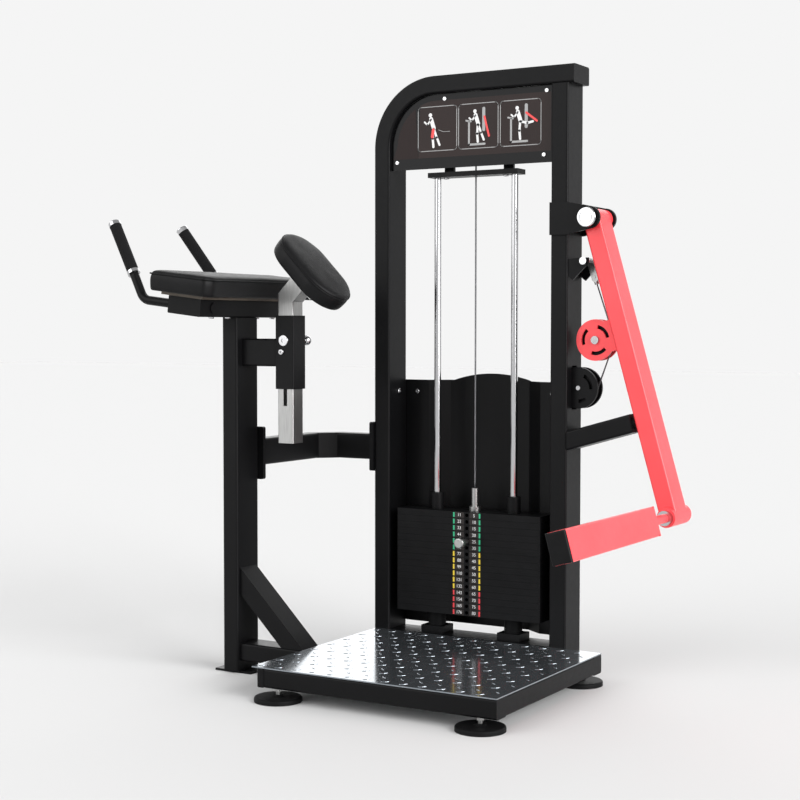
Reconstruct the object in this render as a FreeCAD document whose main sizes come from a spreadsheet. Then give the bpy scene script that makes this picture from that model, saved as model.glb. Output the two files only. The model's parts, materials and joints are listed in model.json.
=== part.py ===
"""Selectorised standing kick-back (glute) machine, modelled at real size in millimetres.

+Z is up and the floor is z = 0. +X is the way the foot bar swings and +Y points
from the user's platform back to the weight-stack tower.
"""
import FreeCAD, Part
import Sketcher
import math
import os
import re

V = FreeCAD.Vector
doc = FreeCAD.newDocument("kickback_machine")

# ---------------------------------------------------------------- driving sizes
SIZES = {
    # tube stock
    "wall": 3.0, "corner_radius": 6.0, "fit_gap": 0.4,
    # tower
    "tower_y": 313.0, "tower_high": 1670.0, "tower_bottom": 37.0, "post_wide": 50.0,
    "post_deep": 100.0, "left_post_x": -156.0, "right_post_x": 404.5, "bend_radius": 195.0,
    "beam_end_x": 446.0, "base_tube_high": 50.0, "sign_bottom": 1411.0, "sign_thick": 4.0,
    "sign_inset": 15.0, "shroud_thick": 2.0, "shroud_deep": 37.0, "shroud_bottom": 100.0,
    "shroud_side_top": 810.0, "shroud_top": 830.0,
    # platform
    "deck_x": 188.5, "deck_long": 696.0, "deck_wide": 615.0, "deck_top": 87.0,
    "tread_thick": 3.0, "tread_lip": 15.0, "rail_size": 50.0, "cap_long": 25.0,
    "foot_radius": 62.5, "foot_high": 13.0, "foot_inset_x": 54.0, "foot_inset_y": 20.5,
    "stem_radius": 6.0,
    # weight stack
    "stack_x": 124.3, "plate_long": 455.0, "plate_deep": 94.0, "plate_thick": 18.0,
    "plate_pitch": 18.4, "stack_bottom": 149.0, "lifted_count": 5.0, "plate_count": 16.0,
    "rod_half_gap": 122.3, "rod_radius": 10.0, "crossbar_bottom": 1387.0, "crossbar_thick": 14.0,
    "crossbar_long": 284.0, "hanger_wide": 30.0, "hanger_thick": 10.0, "stem_bar_radius": 12.0,
    "pin_radius": 4.5, "pin_knob_radius": 15.0,
    "bumper_radius": 25.5, "clamp_high": 20.0, "collar_radius": 19.5, "collar_high": 47.0,
    # cable and pulleys
    "cable_radius": 2.4, "pulley_radius": 50.0, "pulley_pitch": 46.0, "pulley_wide": 22.0,
    "pulley_bore": 6.0, "axle_gap": 0.05, "arm_pulley_x": 499.0, "arm_pulley_z": 928.4,
    "low_pulley_z": 798.2, "top_pulley_z": 1560.0, "cheek_radius": 56.0, "cheek_thick": 6.0,
    "cheek_gap": 12.0, "anchor_x": 475.5, "anchor_z": 1141.0,
    # swing arm and foot bar
    "pivot_x": 492.5, "pivot_z": 1256.0, "arm_wide": 50.0, "arm_deep": 80.0,
    "arm_foot_x": 719.5, "arm_foot_z": 464.0, "hub_radius": 26.0, "hub_bore": 15.0,
    "clevis_thick": 8.0, "clevis_radius": 30.0, "bar_near_y": -401.0, "bar_far_y": 127.0,
    "bar_wide": 52.0, "bar_high": 77.0, "bar_tilt": 15.5, "foot_shaft_radius": 12.0,
    "foot_cap_thick": 8.0, "foot_hub_far_y": 375.0, "clevis_root_top": 1300.0,
    "clevis_root_bottom": 1212.0, "stop_bottom": 629.0, "stop_deep": 52.0, "stop_rise": 16.0,
    "stop_pad_z": 711.0, "strap_end_x": 19.8, "strap_end_drop": 62.3,
    # user stand, chest pad, elbow pad and handles
    "stand_x": -411.5, "stand_y": -76.0, "stand_high": 984.0, "stand_wide": 50.0,
    "stand_deep": 100.0, "base_plate_thick": 6.0, "low_tube_wide": 75.0,
    "brace_deep": 73.0, "link_bottom": 573.0, "link_high": 75.0, "link_y": 346.0, "flange_thick": 12.0,
    "bracket_bottom": 855.0, "bracket_high": 76.0, "sleeve_x": -241.5, "sleeve_wall": 5.0,
    "sleeve_bottom": 794.0, "sleeve_high": 200.0, "inner_post_size": 50.0,
    "inner_post_bottom": 646.0, "inner_post_mitre": 1031.0, "chest_x": -168.0,
    "chest_z": 1113.4, "chest_tilt": 45.8, "chest_long": 252.0, "chest_wide": 169.4,
    "chest_thick": 53.5, "elbow_x": -419.0, "elbow_y": -76.0, "elbow_long": 196.0,
    "elbow_wide": 538.0, "elbow_thick": 58.0, "elbow_tilt": 6.6, "elbow_bottom": 1049.5,
    "box_long": 110.0, "box_wide": 418.0, "box_high": 49.0, "pad_board": 8.0,
    "handle_half_gap": 187.0, "handle_radius": 12.5, "grip_radius": 16.5,
    "handle_bend_back": 188.0, "grip_foot_back": 223.0, "grip_foot_half_gap": 181.5,
    "grip_foot_z": 1102.0, "grip_tip_back": 325.0, "grip_tip_half_gap": 149.0,
    "grip_tip_z": 1255.0, "pop_pin_z": 926.0, "hole_pitch": 30.0,
}

sheet = doc.addObject("Spreadsheet::Sheet", "Sizes")
for row, (alias, number) in enumerate(SIZES.items(), start=1):
    sheet.set("A%d" % row, alias)
    sheet.set("B%d" % row, str(number))
    sheet.setAlias("B%d" % row, alias)
doc.recompute()


class Sizes:
    """The sheet's numbers, read back for shapes that need them in Python."""


for alias in SIZES:
    setattr(Sizes, alias, float(getattr(sheet, alias)))
S = Sizes
S.deck_y = S.tower_y - S.post_deep / 2 - S.fit_gap - S.deck_wide / 2
S.sleeve_size = S.inner_post_size + 2 * S.sleeve_wall
DECK_Y = "(tower_y - post_deep / 2 - fit_gap - deck_wide / 2)"
NODES = []


# ---------------------------------------------------------------- small helpers
def formula(words):
    """Turn bare size names into references to the sheet."""
    return re.sub(r"[a-z][a-z_]+", lambda m: "Sizes." + m.group() if m.group() in SIZES
                  else m.group(), str(words))


def bind(item, **sizes):
    for name, words in sizes.items():
        item.setExpression(name, formula(words))


def put(item, x, y, z, rotation=None):
    """Place an object at x, y, z, each a number or a formula in size names."""
    if rotation:
        item.Placement = FreeCAD.Placement(V(), rotation)
    for axis, words in zip("xyz", (x, y, z)):
        item.setExpression("Placement.Base." + axis, formula(words))


def keep(item, label):
    """Name an object as a sub-part that is written out."""
    item.Label = label
    NODES.append(item)
    return item


def turn(axis, angle):
    return FreeCAD.Rotation(V(*axis), angle)


ALONG_X = turn((0, 1, 0), 90)
ALONG_Y = turn((1, 0, 0), -90)
UPRIGHT = turn((0, 0, 1), 0)


def block(name, x, y, z, long, deep, high):
    """A box centred on x and y, with its underside at z."""
    item = doc.addObject("Part::Box", name)
    bind(item, Length=long, Width=deep, Height=high)
    put(item, "(%s) - (%s) / 2" % (x, long), "(%s) - (%s) / 2" % (y, deep), z)
    return item


def rod(name, x, y, z, radius, long, rotation=UPRIGHT):
    """A round bar that starts at x, y, z and runs along the rotated Z axis."""
    item = doc.addObject("Part::Cylinder", name)
    bind(item, Radius=radius, Height=long)
    put(item, x, y, z, rotation)
    return item


def cut(name, base, tools):
    """Base with every tool taken away."""
    item = doc.addObject("Part::Cut", name)
    item.Base = base
    item.Tool = group(name + "_tools", tools) if len(tools) > 1 else tools[0]
    return item


def fuse(name, pieces):
    item = doc.addObject("Part::MultiFuse", name)
    item.Shapes = pieces
    return item


def group(name, pieces):
    """Separate solids that share one node."""
    item = doc.addObject("Part::Compound", name)
    item.Links = pieces
    return item


def rectangle(sketch, wide, high):
    """A rectangle centred on the sketch's origin, sized by two formulas."""
    first = sketch.GeometryCount
    corners = [V(-5, -5, 0), V(5, -5, 0), V(5, 5, 0), V(-5, 5, 0)]
    for start, end in zip(corners, corners[1:] + corners[:1]):
        sketch.addGeometry(Part.LineSegment(start, end))
    for side in range(4):
        joined = first + (side + 1) % 4
        sketch.addConstraint(Sketcher.Constraint("Coincident", first + side, 2, joined, 1))
        level = "Horizontal" if side % 2 == 0 else "Vertical"
        sketch.addConstraint(Sketcher.Constraint(level, first + side))
    sketch.addConstraint(Sketcher.Constraint("Symmetric", first, 1, first + 1, 2, -1, 1))
    for kind, side, words in (("DistanceX", first, wide), ("DistanceY", first + 1, high)):
        size = sketch.addConstraint(Sketcher.Constraint(kind, side, 1, side, 2, 10))
        sketch.setExpression("Constraints[%d]" % size, formula(words))


def attach(sketch, body, role="XY_Plane"):
    plane = [item for item in body.Origin.OriginFeatures if item.Role == role][0]
    sketch.AttachmentSupport = (plane, [""])
    sketch.MapMode = "FlatFace"


def tube(name, x, y, z, wide, deep, long, rotation=UPRIGHT, hollow=True):
    """Rectangular tube: a padded section with rounded long corners."""
    body = doc.addObject("PartDesign::Body", name)
    sketch = body.newObject("Sketcher::SketchObject", name + "_section")
    attach(sketch, body)
    rectangle(sketch, wide, deep)
    if hollow:
        rectangle(sketch, "%s - 2 * wall" % wide, "%s - 2 * wall" % deep)
    pad = body.newObject("PartDesign::Pad", name + "_run")
    pad.Profile = sketch
    bind(pad, Length=long)
    doc.recompute()
    reach = max(abs(v.X) for v in pad.Shape.Vertexes)
    corners = []
    for number, edge in enumerate(pad.Shape.Edges, start=1):
        low, high = edge.Vertexes[0].Point, edge.Vertexes[-1].Point
        if abs(low.z - high.z) > 1 and abs(low.x) > reach - 1:
            corners.append("Edge%d" % number)
    fillet = body.newObject("PartDesign::Fillet", name + "_corners")
    fillet.Base = (pad, corners)
    bind(fillet, Radius="corner_radius")
    put(body, x, y, z, rotation)
    return body


def prism(points, y0, y1, bulges=None):
    """A plate standing in the XZ plane between two Y values.

    points are (x, z) pairs. bulges maps a point's index to the middle point of the
    arc that leaves it, so that side is round.
    """
    bulges = bulges or {}
    edges = []
    for index, (x, z) in enumerate(points):
        x2, z2 = points[(index + 1) % len(points)]
        start, end = V(x, y0, z), V(x2, y0, z2)
        if index in bulges:
            middle = V(bulges[index][0], y0, bulges[index][1])
            edges.append(Part.Arc(start, middle, end).toShape())
        else:
            edges.append(Part.LineSegment(start, end).toShape())
    return Part.Face(Part.Wire(edges)).extrude(V(0, y1 - y0, 0))


def cylinder(x, y, z, radius, long, direction=(0, 1, 0)):
    return Part.makeCylinder(radius, long, V(x, y, z), V(*direction))


def dome(x, y, z, radius, high, direction):
    """A round bolt head with a rounded rim and a hexagon socket."""
    head = Part.makeCylinder(radius, high, V(), V(0, 0, 1))
    rim = [edge for edge in head.Edges if edge.BoundBox.ZMin > high / 2]
    head = head.makeFillet(high * 0.45, rim)
    corners = [V(radius * 0.42 * math.cos(math.pi * k / 3),
                 radius * 0.42 * math.sin(math.pi * k / 3), high * 0.4) for k in range(6)]
    socket = Part.Face(Part.makePolygon(corners + corners[:1])).extrude(V(0, 0, high))
    head = head.cut(socket)
    head.Placement = FreeCAD.Placement(V(x, y, z), FreeCAD.Rotation(V(0, 0, 1), V(*direction)))
    return head


def shape(name, solid):
    """A sub-part whose outline neither a primitive nor a padded sketch suits."""
    item = doc.addObject("Part::Feature", name)
    item.Shape = solid
    return keep(item, name)


def solids(name, pieces):
    return shape(name, Part.makeCompound(pieces))


def rounded(solid, radius, choose):
    return solid.makeFillet(radius, [edge for edge in solid.Edges if choose(edge)])


def swept(points, radii, radius):
    """A round bar along straight runs joined by tangent arcs."""
    runs = []
    start = points[0]
    for before, corner, after, bend in zip(points, points[1:], points[2:], radii):
        back = (before - corner).normalize()
        onward = (after - corner).normalize()
        half = back.getAngle(onward) / 2
        reach = bend / math.tan(half)
        centre = corner + (back + onward).normalize() * (bend / math.sin(half))
        first = corner + back * reach
        last = corner + onward * reach
        middle = centre + (corner - centre).normalize() * bend
        runs.append(Part.LineSegment(start, first).toShape())
        runs.append(Part.Arc(first, middle, last).toShape())
        start = last
    runs.append(Part.LineSegment(start, points[-1]).toShape())
    path = Part.Wire(runs)
    ring = Part.Wire(Part.Circle(points[0], points[1] - points[0], radius).toShape())
    return path.makePipeShell([ring], True, False)


# ---------------------------------------------------------------- platform
def platform():
    rail_z = "deck_top - tread_thick - rail_size"
    left = "deck_x - deck_long / 2"
    near = DECK_Y + " - deck_wide / 2"
    far = DECK_Y + " + deck_wide / 2"
    between = "deck_wide - 2 * rail_size"
    right_rail = tube("right_rail", "deck_x + deck_long / 2 - rail_size / 2", near + " + rail_size",
                      rail_z + " + rail_size / 2", "rail_size", "rail_size", between, ALONG_Y)
    left_rail = tube("left_rail", left + " + cap_long + rail_size / 2", near + " + rail_size",
                     rail_z + " + rail_size / 2", "rail_size", "rail_size", between, ALONG_Y)
    keep(group("platform_side_rails", [right_rail, left_rail]), "platform_side_rails")
    ends = []
    for name, y in (("front_rail", near + " + rail_size / 2"), ("rear_rail", far + " - rail_size / 2")):
        open_rail = tube(name, left + " + cap_long", y, rail_z + " + rail_size / 2",
                         "rail_size", "rail_size", "deck_long - cap_long", ALONG_X)
        end_plate = block(name + "_end", "deck_x + deck_long / 2 - wall / 2", y, rail_z + " + wall",
                          "wall", "rail_size - 2 * wall", "rail_size - 2 * wall")
        ends.append(fuse(name + "_closed", [open_rail, end_plate]))
    keep(group("platform_end_rails", ends), "platform_end_rails")
    block("tread_sheet", "deck_x - tread_lip / 2", DECK_Y, "deck_top - tread_thick",
          "deck_long + tread_lip", "deck_wide", "tread_thick")
    keep(doc.getObject("tread_sheet"), "tread_plate")

    low = S.deck_top - S.tread_thick - S.rail_size
    feet = []
    stems = []
    spots = [(S.deck_x + sx * (S.deck_long / 2 - S.foot_inset_x),
              S.deck_y + sy * (S.deck_wide / 2 - S.foot_inset_y), low)
             for sx in (-1, 1) for sy in (-1, 1)]
    spots += [(S.stack_x + sx * S.rod_half_gap, S.tower_y, S.tower_bottom) for sx in (-1, 1)]
    for x, y, top in spots:
        disc = cylinder(x, y, 0, S.foot_radius, S.foot_high, (0, 0, 1))
        disc = rounded(disc, S.foot_high * 0.4, lambda e: e.BoundBox.ZMin > 1)
        boss = Part.makeCone(S.stem_radius * 3, S.stem_radius * 2, 6, V(x, y, S.foot_high - 1))
        feet.append(disc.fuse(boss))
        nut_z = top - 8
        stem_z = S.foot_high + 5
        corners = [V(x + 10 * math.cos(math.pi * k / 3), y + 10 * math.sin(math.pi * k / 3), nut_z)
                   for k in range(6)]
        nut = Part.Face(Part.makePolygon(corners + corners[:1])).extrude(V(0, 0, 8))
        bar = cylinder(x, y, stem_z, S.stem_radius, top - stem_z, (0, 0, 1))
        stems.append(bar.fuse(nut))
    solids("foot_discs", feet)
    solids("foot_stems", stems)


def rail_end_caps():
    """Plastic blocks that close the platform rails' left ends and the top beam."""
    low = S.deck_top - S.tread_thick - S.rail_size
    west = S.deck_x - S.deck_long / 2
    beam = Part.makeBox(4, S.post_deep, S.post_wide, V(S.beam_end_x - 4, S.tower_y - S.post_deep / 2,
                                                      S.tower_high - S.post_wide))
    caps = [rounded(beam, S.corner_radius, lambda e: e.BoundBox.XLength > 1)]
    for y in (S.deck_y - S.deck_wide / 2, S.deck_y + S.deck_wide / 2 - S.rail_size):
        cap = Part.makeBox(S.cap_long, S.rail_size, S.rail_size, V(west, y, low))
        caps.append(rounded(cap, S.corner_radius, lambda e: e.BoundBox.XLength < 1))
    return caps


# ---------------------------------------------------------------- tower
def tower():
    inner_left = "left_post_x + post_wide / 2"
    keep(tube("left_post", "left_post_x", "tower_y", "tower_bottom", "post_wide", "post_deep",
              "tower_high - bend_radius - tower_bottom"), "left_post")
    post = tube("right_post_tube", "right_post_x", "tower_y", "tower_bottom", "post_wide",
                "post_deep", "tower_high - post_wide - tower_bottom")
    low_slot = block("low_pulley_slot", "right_post_x + post_wide / 2", "tower_y",
                     "low_pulley_z - cheek_radius - 4", "post_wide", "pulley_wide + 8",
                     "2 * cheek_radius + 8")
    top_slot = block("top_pulley_slot", "right_post_x - post_wide / 2", "tower_y",
                     "top_pulley_z - pulley_radius - 5", "post_wide", "pulley_wide + 8",
                     "2 * pulley_radius + 10")
    keep(cut("right_post", post, [low_slot, top_slot]), "right_post")
    keep(tube("base_tube", inner_left, "tower_y", "tower_bottom + base_tube_high / 2",
              "base_tube_high", "post_deep", "right_post_x - left_post_x - post_wide", ALONG_X),
         "tower_base_tube")
    bend_x = "left_post_x - post_wide / 2 + bend_radius"
    keep(tube("top_beam_tube", bend_x, "tower_y", "tower_high - post_wide / 2", "post_wide",
              "post_deep", "beam_end_x - 4 - (%s)" % bend_x, ALONG_X), "top_beam")

    centre_x = S.left_post_x - S.post_wide / 2 + S.bend_radius
    centre_z = S.tower_high - S.bend_radius
    quarter = 90
    ring = []
    for outer, inner, half in ((S.bend_radius, S.bend_radius - S.post_wide, S.post_deep / 2),
                               (S.bend_radius - S.wall, S.bend_radius - S.post_wide + S.wall,
                                S.post_deep / 2 - S.wall)):
        corners = [V(centre_x - outer, S.tower_y - half, centre_z),
                   V(centre_x - inner, S.tower_y - half, centre_z),
                   V(centre_x - inner, S.tower_y + half, centre_z),
                   V(centre_x - outer, S.tower_y + half, centre_z)]
        section = Part.Face(Part.makePolygon(corners + corners[:1]))
        ring.append(section.revolve(V(centre_x, 0, centre_z), V(0, 1, 0), quarter))
    outer = rounded(ring[0], S.corner_radius,
                    lambda e: isinstance(e.Curve, Part.Circle))
    shape("top_bend", outer.cut(ring[1]))

    left = S.left_post_x + S.post_wide / 2 + S.fit_gap
    right = S.right_post_x - S.post_wide / 2 - S.fit_gap
    top = S.tower_high - S.post_wide - S.fit_gap
    bottom = S.sign_bottom
    arc = S.bend_radius - S.post_wide - S.fit_gap
    lean = arc * math.cos(math.pi / 4)
    front = S.tower_y - S.post_deep / 2 + S.sign_inset
    shape("sign_panel", prism([(left, bottom), (right, bottom), (right, top),
                               (centre_x, top), (left, centre_z)], front, front + S.sign_thick,
                              {3: (centre_x - lean, centre_z + lean)}))


# ---------------------------------------------------------------- weight stack
def plate_at(number):
    """One weight plate, counted from the bottom, with rod holes and a pin hole."""
    z = S.stack_bottom + number * S.plate_pitch
    low = S.stack_x - S.plate_long / 2
    near = S.tower_y - S.post_deep / 2
    plate = Part.makeBox(S.plate_long, S.plate_deep, S.plate_thick, V(low, near, z))
    plate = rounded(plate, 3, lambda e: e.BoundBox.ZLength > 1)
    for side in (-1, 1):
        hole = S.rod_radius + 1
        plate = plate.cut(cylinder(S.stack_x + side * S.rod_half_gap, S.tower_y, z - 1, hole,
                                   S.plate_thick + 2, (0, 0, 1)))
    plate = plate.cut(cylinder(S.stack_x, S.tower_y, z - 1, S.stem_bar_radius + 1,
                               S.plate_thick + 2, (0, 0, 1)))
    hole_z = z + S.plate_thick / 2
    return plate.cut(cylinder(S.stack_x, near - 1, hole_z, S.pin_radius + 1, S.plate_deep / 2))


def weight_stack():
    count = int(S.plate_count)
    lifted = int(S.lifted_count)
    plates = [plate_at(number) for number in range(count)]
    solids("lower_plates", plates[:count - lifted])
    solids("lifted_plates", plates[count - lifted:count - 1])
    shape("head_plate", plates[-1])

    top = S.stack_bottom + (count - 1) * S.plate_pitch + S.plate_thick
    pin_z = S.stack_bottom + (count - lifted) * S.plate_pitch + S.plate_thick / 2
    near = S.tower_y - S.post_deep / 2
    stem_low = S.stack_bottom + 6
    stem = cylinder(S.stack_x, S.tower_y, stem_low, S.stem_bar_radius, top - stem_low + 12, (0, 0, 1))
    for number in range(count):
        level = S.stack_bottom + number * S.plate_pitch + S.plate_thick / 2
        stem = stem.cut(cylinder(S.stack_x, S.tower_y - S.stem_bar_radius - 1, level,
                                 S.pin_radius + 0.5, 2 * S.stem_bar_radius + 2))
    socket = cylinder(S.stack_x, S.tower_y, top + 10, 10, 54, (0, 0, 1))
    nut = cylinder(S.stack_x, S.tower_y, top, 17, 12, (0, 0, 1))
    shape("selector_stem", stem.fuse([socket, nut]))

    knob_out = near - 50
    pin = cylinder(S.stack_x, knob_out + 16, pin_z, S.pin_radius, S.tower_y + 10 - knob_out - 16)
    knob = cylinder(S.stack_x, knob_out, pin_z, S.pin_knob_radius, 16)
    knob = rounded(knob, 4, lambda e: e.BoundBox.YMax < knob_out + 1)
    collar = cylinder(S.stack_x, knob_out + 16, pin_z, 8, near - knob_out - 18)
    shape("selector_pin", pin.fuse([knob, collar]))

    collars = []
    clamps = []
    rods = []
    base_top = S.tower_bottom + S.base_tube_high
    for side in (-1, 1):
        x = S.stack_x + side * S.rod_half_gap
        bore = S.rod_radius + 1
        collars.append(cylinder(x, S.tower_y, top, S.collar_radius, S.collar_high, (0, 0, 1)).cut(
            cylinder(x, S.tower_y, top, bore, S.collar_high, (0, 0, 1))))
        clamp = Part.makeBox(70, 64, S.clamp_high, V(x - 35, S.tower_y - 32, base_top))
        clamps.append(clamp.cut(cylinder(x, S.tower_y, base_top, S.rod_radius, S.clamp_high,
                                         (0, 0, 1))))
        rods.append(rod("guide_rod_" + ("left" if side < 0 else "right"),
                        "stack_x + %d * rod_half_gap" % side, "tower_y",
                        "tower_bottom + base_tube_high", "rod_radius",
                        "crossbar_bottom + crossbar_thick - tower_bottom - base_tube_high"))
    solids("guide_collars", collars)
    solids("rod_clamps", clamps)
    keep(group("guide_rods", rods), "guide_rods")
    bar = block("crossbar", "stack_x", "tower_y", "crossbar_bottom", "crossbar_long",
                "post_wide", "crossbar_thick")
    holes = [rod("crossbar_hole_" + word, "stack_x + %d * rod_half_gap" % side, "tower_y",
                 "crossbar_bottom - 1", "rod_radius", "crossbar_thick + 2")
             for word, side in (("left", -1), ("right", 1))]
    holes.append(rod("crossbar_cable_hole", "stack_x", "tower_y", "crossbar_bottom - 1",
                     "cable_radius + 4", "crossbar_thick + 2"))
    keep(cut("rod_crossbar", bar, holes), "rod_crossbar")
    hangers = []
    for word, side in (("left", -1), ("right", 1)):
        hangers.append(block("hanger_" + word, "stack_x + %d * (rod_half_gap - 28)" % side,
                             "tower_y + post_wide / 2 - hanger_thick / 2",
                             "crossbar_bottom + crossbar_thick", "hanger_wide", "hanger_thick",
                             "tower_high - post_wide - crossbar_bottom - crossbar_thick"))
    keep(group("crossbar_hangers", hangers), "crossbar_hangers")


def stack_bumpers():
    """Rubber rings round the guide rods that the stack lands on."""
    low = S.tower_bottom + S.base_tube_high + S.clamp_high
    high = S.stack_bottom - low
    rings = []
    for side in (-1, 1):
        x = S.stack_x + side * S.rod_half_gap
        ring = cylinder(x, S.tower_y, low, S.bumper_radius, high, (0, 0, 1))
        rings.append(ring.cut(cylinder(x, S.tower_y, low, S.rod_radius, high, (0, 0, 1))))
    return rings


def shroud():
    """Bent sheet guard behind the stack: two flanges, two angled walls, one middle panel."""
    back = S.tower_y + S.post_deep / 2
    deep = S.shroud_deep
    left = S.left_post_x + S.post_wide / 2
    right = S.right_post_x - S.post_wide / 2
    lap = S.post_wide * 0.6
    front_line = [(left - lap, back), (left + 76, back), (left + 128, back + deep),
                  (right - 128, back + deep), (right - 76, back), (right + lap, back)]
    back_line = [(x, y + S.shroud_thick) for x, y in reversed(front_line)]
    low = S.shroud_bottom
    wire = Part.makePolygon([V(x, y, low) for x, y in front_line + back_line + front_line[:1]])
    guard = Part.Face(wire).extrude(V(0, 0, S.shroud_top - low))
    side_top = S.shroud_side_top
    above = S.shroud_top + 10
    west, east = left - lap - 1, right + lap + 1
    shoulders = (S.stack_x - 115, S.stack_x + 135)
    outline = [(west, above), (west, side_top), (shoulders[0], side_top), (shoulders[1], side_top),
               (east, side_top), (east, above)]
    crown = {2: (sum(shoulders) / 2, S.shroud_top)}
    guard = guard.cut(prism(outline, back - 5, back + deep + 10, crown))
    shape("rear_shroud", guard)


# ---------------------------------------------------------------- pulleys and cable
def wheel(x, z, bore):
    """A cable wheel with a round groove, lightening dishes and a bore."""
    half = S.pulley_wide / 2
    body = cylinder(x, S.tower_y - half, z, S.pulley_radius, S.pulley_wide)
    groove = Part.makeTorus(S.pulley_pitch + 1.6, 4, V(x, S.tower_y, z), V(0, 1, 0))
    rim = cylinder(x, S.tower_y - 4, z, S.pulley_radius + 1, 8).cut(
        cylinder(x, S.tower_y - 4, z, S.pulley_pitch + 1.6, 8))
    body = body.cut(groove).cut(rim)
    for y in (S.tower_y - half, S.tower_y + half - 4):
        dish = cylinder(x, y, z, S.pulley_pitch - 8, 4).cut(cylinder(x, y, z, 16, 4))
        body = body.cut(dish)
    return body.cut(cylinder(x, S.tower_y - half, z, bore, S.pulley_wide))


def cheek(x, z, y, face_x, lean=0):
    """Round cheek plate with a straight foot that is welded to a steel face."""
    plate = cylinder(x, y, z, S.cheek_radius, S.cheek_thick)
    foot = Part.makeBox(face_x - x, S.cheek_thick, 1.5 * S.cheek_radius,
                        V(x, y, z - 0.75 * S.cheek_radius))
    if lean:
        foot.rotate(V(x, y, z), V(0, 1, 0), lean)
    plate = plate.fuse(foot)
    slots = []
    for start in (25, 145, 265):
        outer = Part.makeCylinder(41, S.cheek_thick + 2, V(x, y - 1, z), V(0, 1, 0), 70)
        inner = Part.makeCylinder(31, S.cheek_thick + 2, V(x, y - 1, z), V(0, 1, 0), 70)
        slot = outer.cut(inner)
        slot.rotate(V(x, y, z), V(0, 1, 0), start + lean)
        slots.append(slot)
    return plate.cut(slots)


def pulleys():
    low_x = S.right_post_x + S.pulley_pitch
    top_right_x = S.right_post_x - S.pulley_pitch
    top_left_x = S.stack_x + S.pulley_pitch
    half = S.pulley_wide / 2
    bore = S.pulley_bore + S.axle_gap
    shape("low_pulley", wheel(low_x, S.low_pulley_z, bore))
    shape("top_pulley_right", wheel(top_right_x, S.top_pulley_z, bore))
    shape("top_pulley_left", wheel(top_left_x, S.top_pulley_z, bore))
    shape("arm_pulley", wheel(S.arm_pulley_x, S.arm_pulley_z, bore))

    gap = S.cheek_gap + S.cheek_thick
    post_face = S.right_post_x + S.post_wide / 2
    covers = []
    for y in (S.tower_y - gap, S.tower_y + S.cheek_gap):
        disc = cheek(low_x, S.low_pulley_z, y, low_x + 1)
        behind_face = Part.makeBox(200, S.cheek_thick, 200, V(post_face - 200, y, S.low_pulley_z - 100))
        tab = Part.makeBox(low_x - post_face, S.cheek_thick, 2 * S.cheek_radius,
                           V(post_face, y, S.low_pulley_z - S.cheek_radius))
        hole = cylinder(low_x, y, S.low_pulley_z, S.pulley_bore, S.cheek_thick)
        covers.append(disc.fuse(tab).cut([behind_face, hole]))
    solids("low_pulley_cheeks", covers)
    drop = S.tower_high - S.post_wide
    plates = []
    left = top_left_x - 20
    for y in (S.tower_y - gap, S.tower_y + S.cheek_gap):
        plate = Part.makeBox(40, S.cheek_thick, drop - S.top_pulley_z + 20,
                             V(left, y, S.top_pulley_z - 20))
        right_plate = Part.makeBox(40, S.cheek_thick, drop - S.top_pulley_z + 20,
                                   V(top_right_x - 28, y, S.top_pulley_z - 20))
        for x, item in ((top_left_x, plate), (top_right_x, right_plate)):
            plates.append(item.cut(cylinder(x, y, S.top_pulley_z, S.pulley_bore, S.cheek_thick)))
    solids("top_pulley_hangers", plates)

    lean = arm_lean()
    plates = []
    for y in (S.tower_y - gap, S.tower_y + S.cheek_gap):
        plate = cheek(S.arm_pulley_x, S.arm_pulley_z, y, S.arm_pulley_x + 90, -lean)
        plate = plate.cut(arm_solid(S.arm_wide / 2))
        plate = plate.cut(past_arm())
        plates.append(plate.cut(cylinder(S.arm_pulley_x, y, S.arm_pulley_z, S.pulley_bore,
                                         S.cheek_thick)))
    solids("arm_pulley_cheeks", plates)
    bolt = cylinder(S.arm_pulley_x, S.tower_y - gap - 6, S.arm_pulley_z, S.pulley_bore, 2 * gap + 12)
    heads = [cylinder(S.arm_pulley_x, y, S.arm_pulley_z, 11, 6)
             for y in (S.tower_y - gap - 6, S.tower_y + gap)]
    solids("arm_hardware", [bolt.fuse(heads)] + foot_shaft_rings())


def pulley_axles():
    """Plain pins that carry the three wheels on the tower."""
    gap = S.cheek_gap + S.cheek_thick
    axles = [cylinder(S.right_post_x + S.pulley_pitch, S.tower_y - gap - 4, S.low_pulley_z,
                      S.pulley_bore, 2 * gap + 8)]
    for x in (S.stack_x + S.pulley_pitch, S.right_post_x - S.pulley_pitch):
        axles.append(cylinder(x, S.tower_y - gap, S.top_pulley_z, S.pulley_bore, 2 * gap))
    return axles


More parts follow.
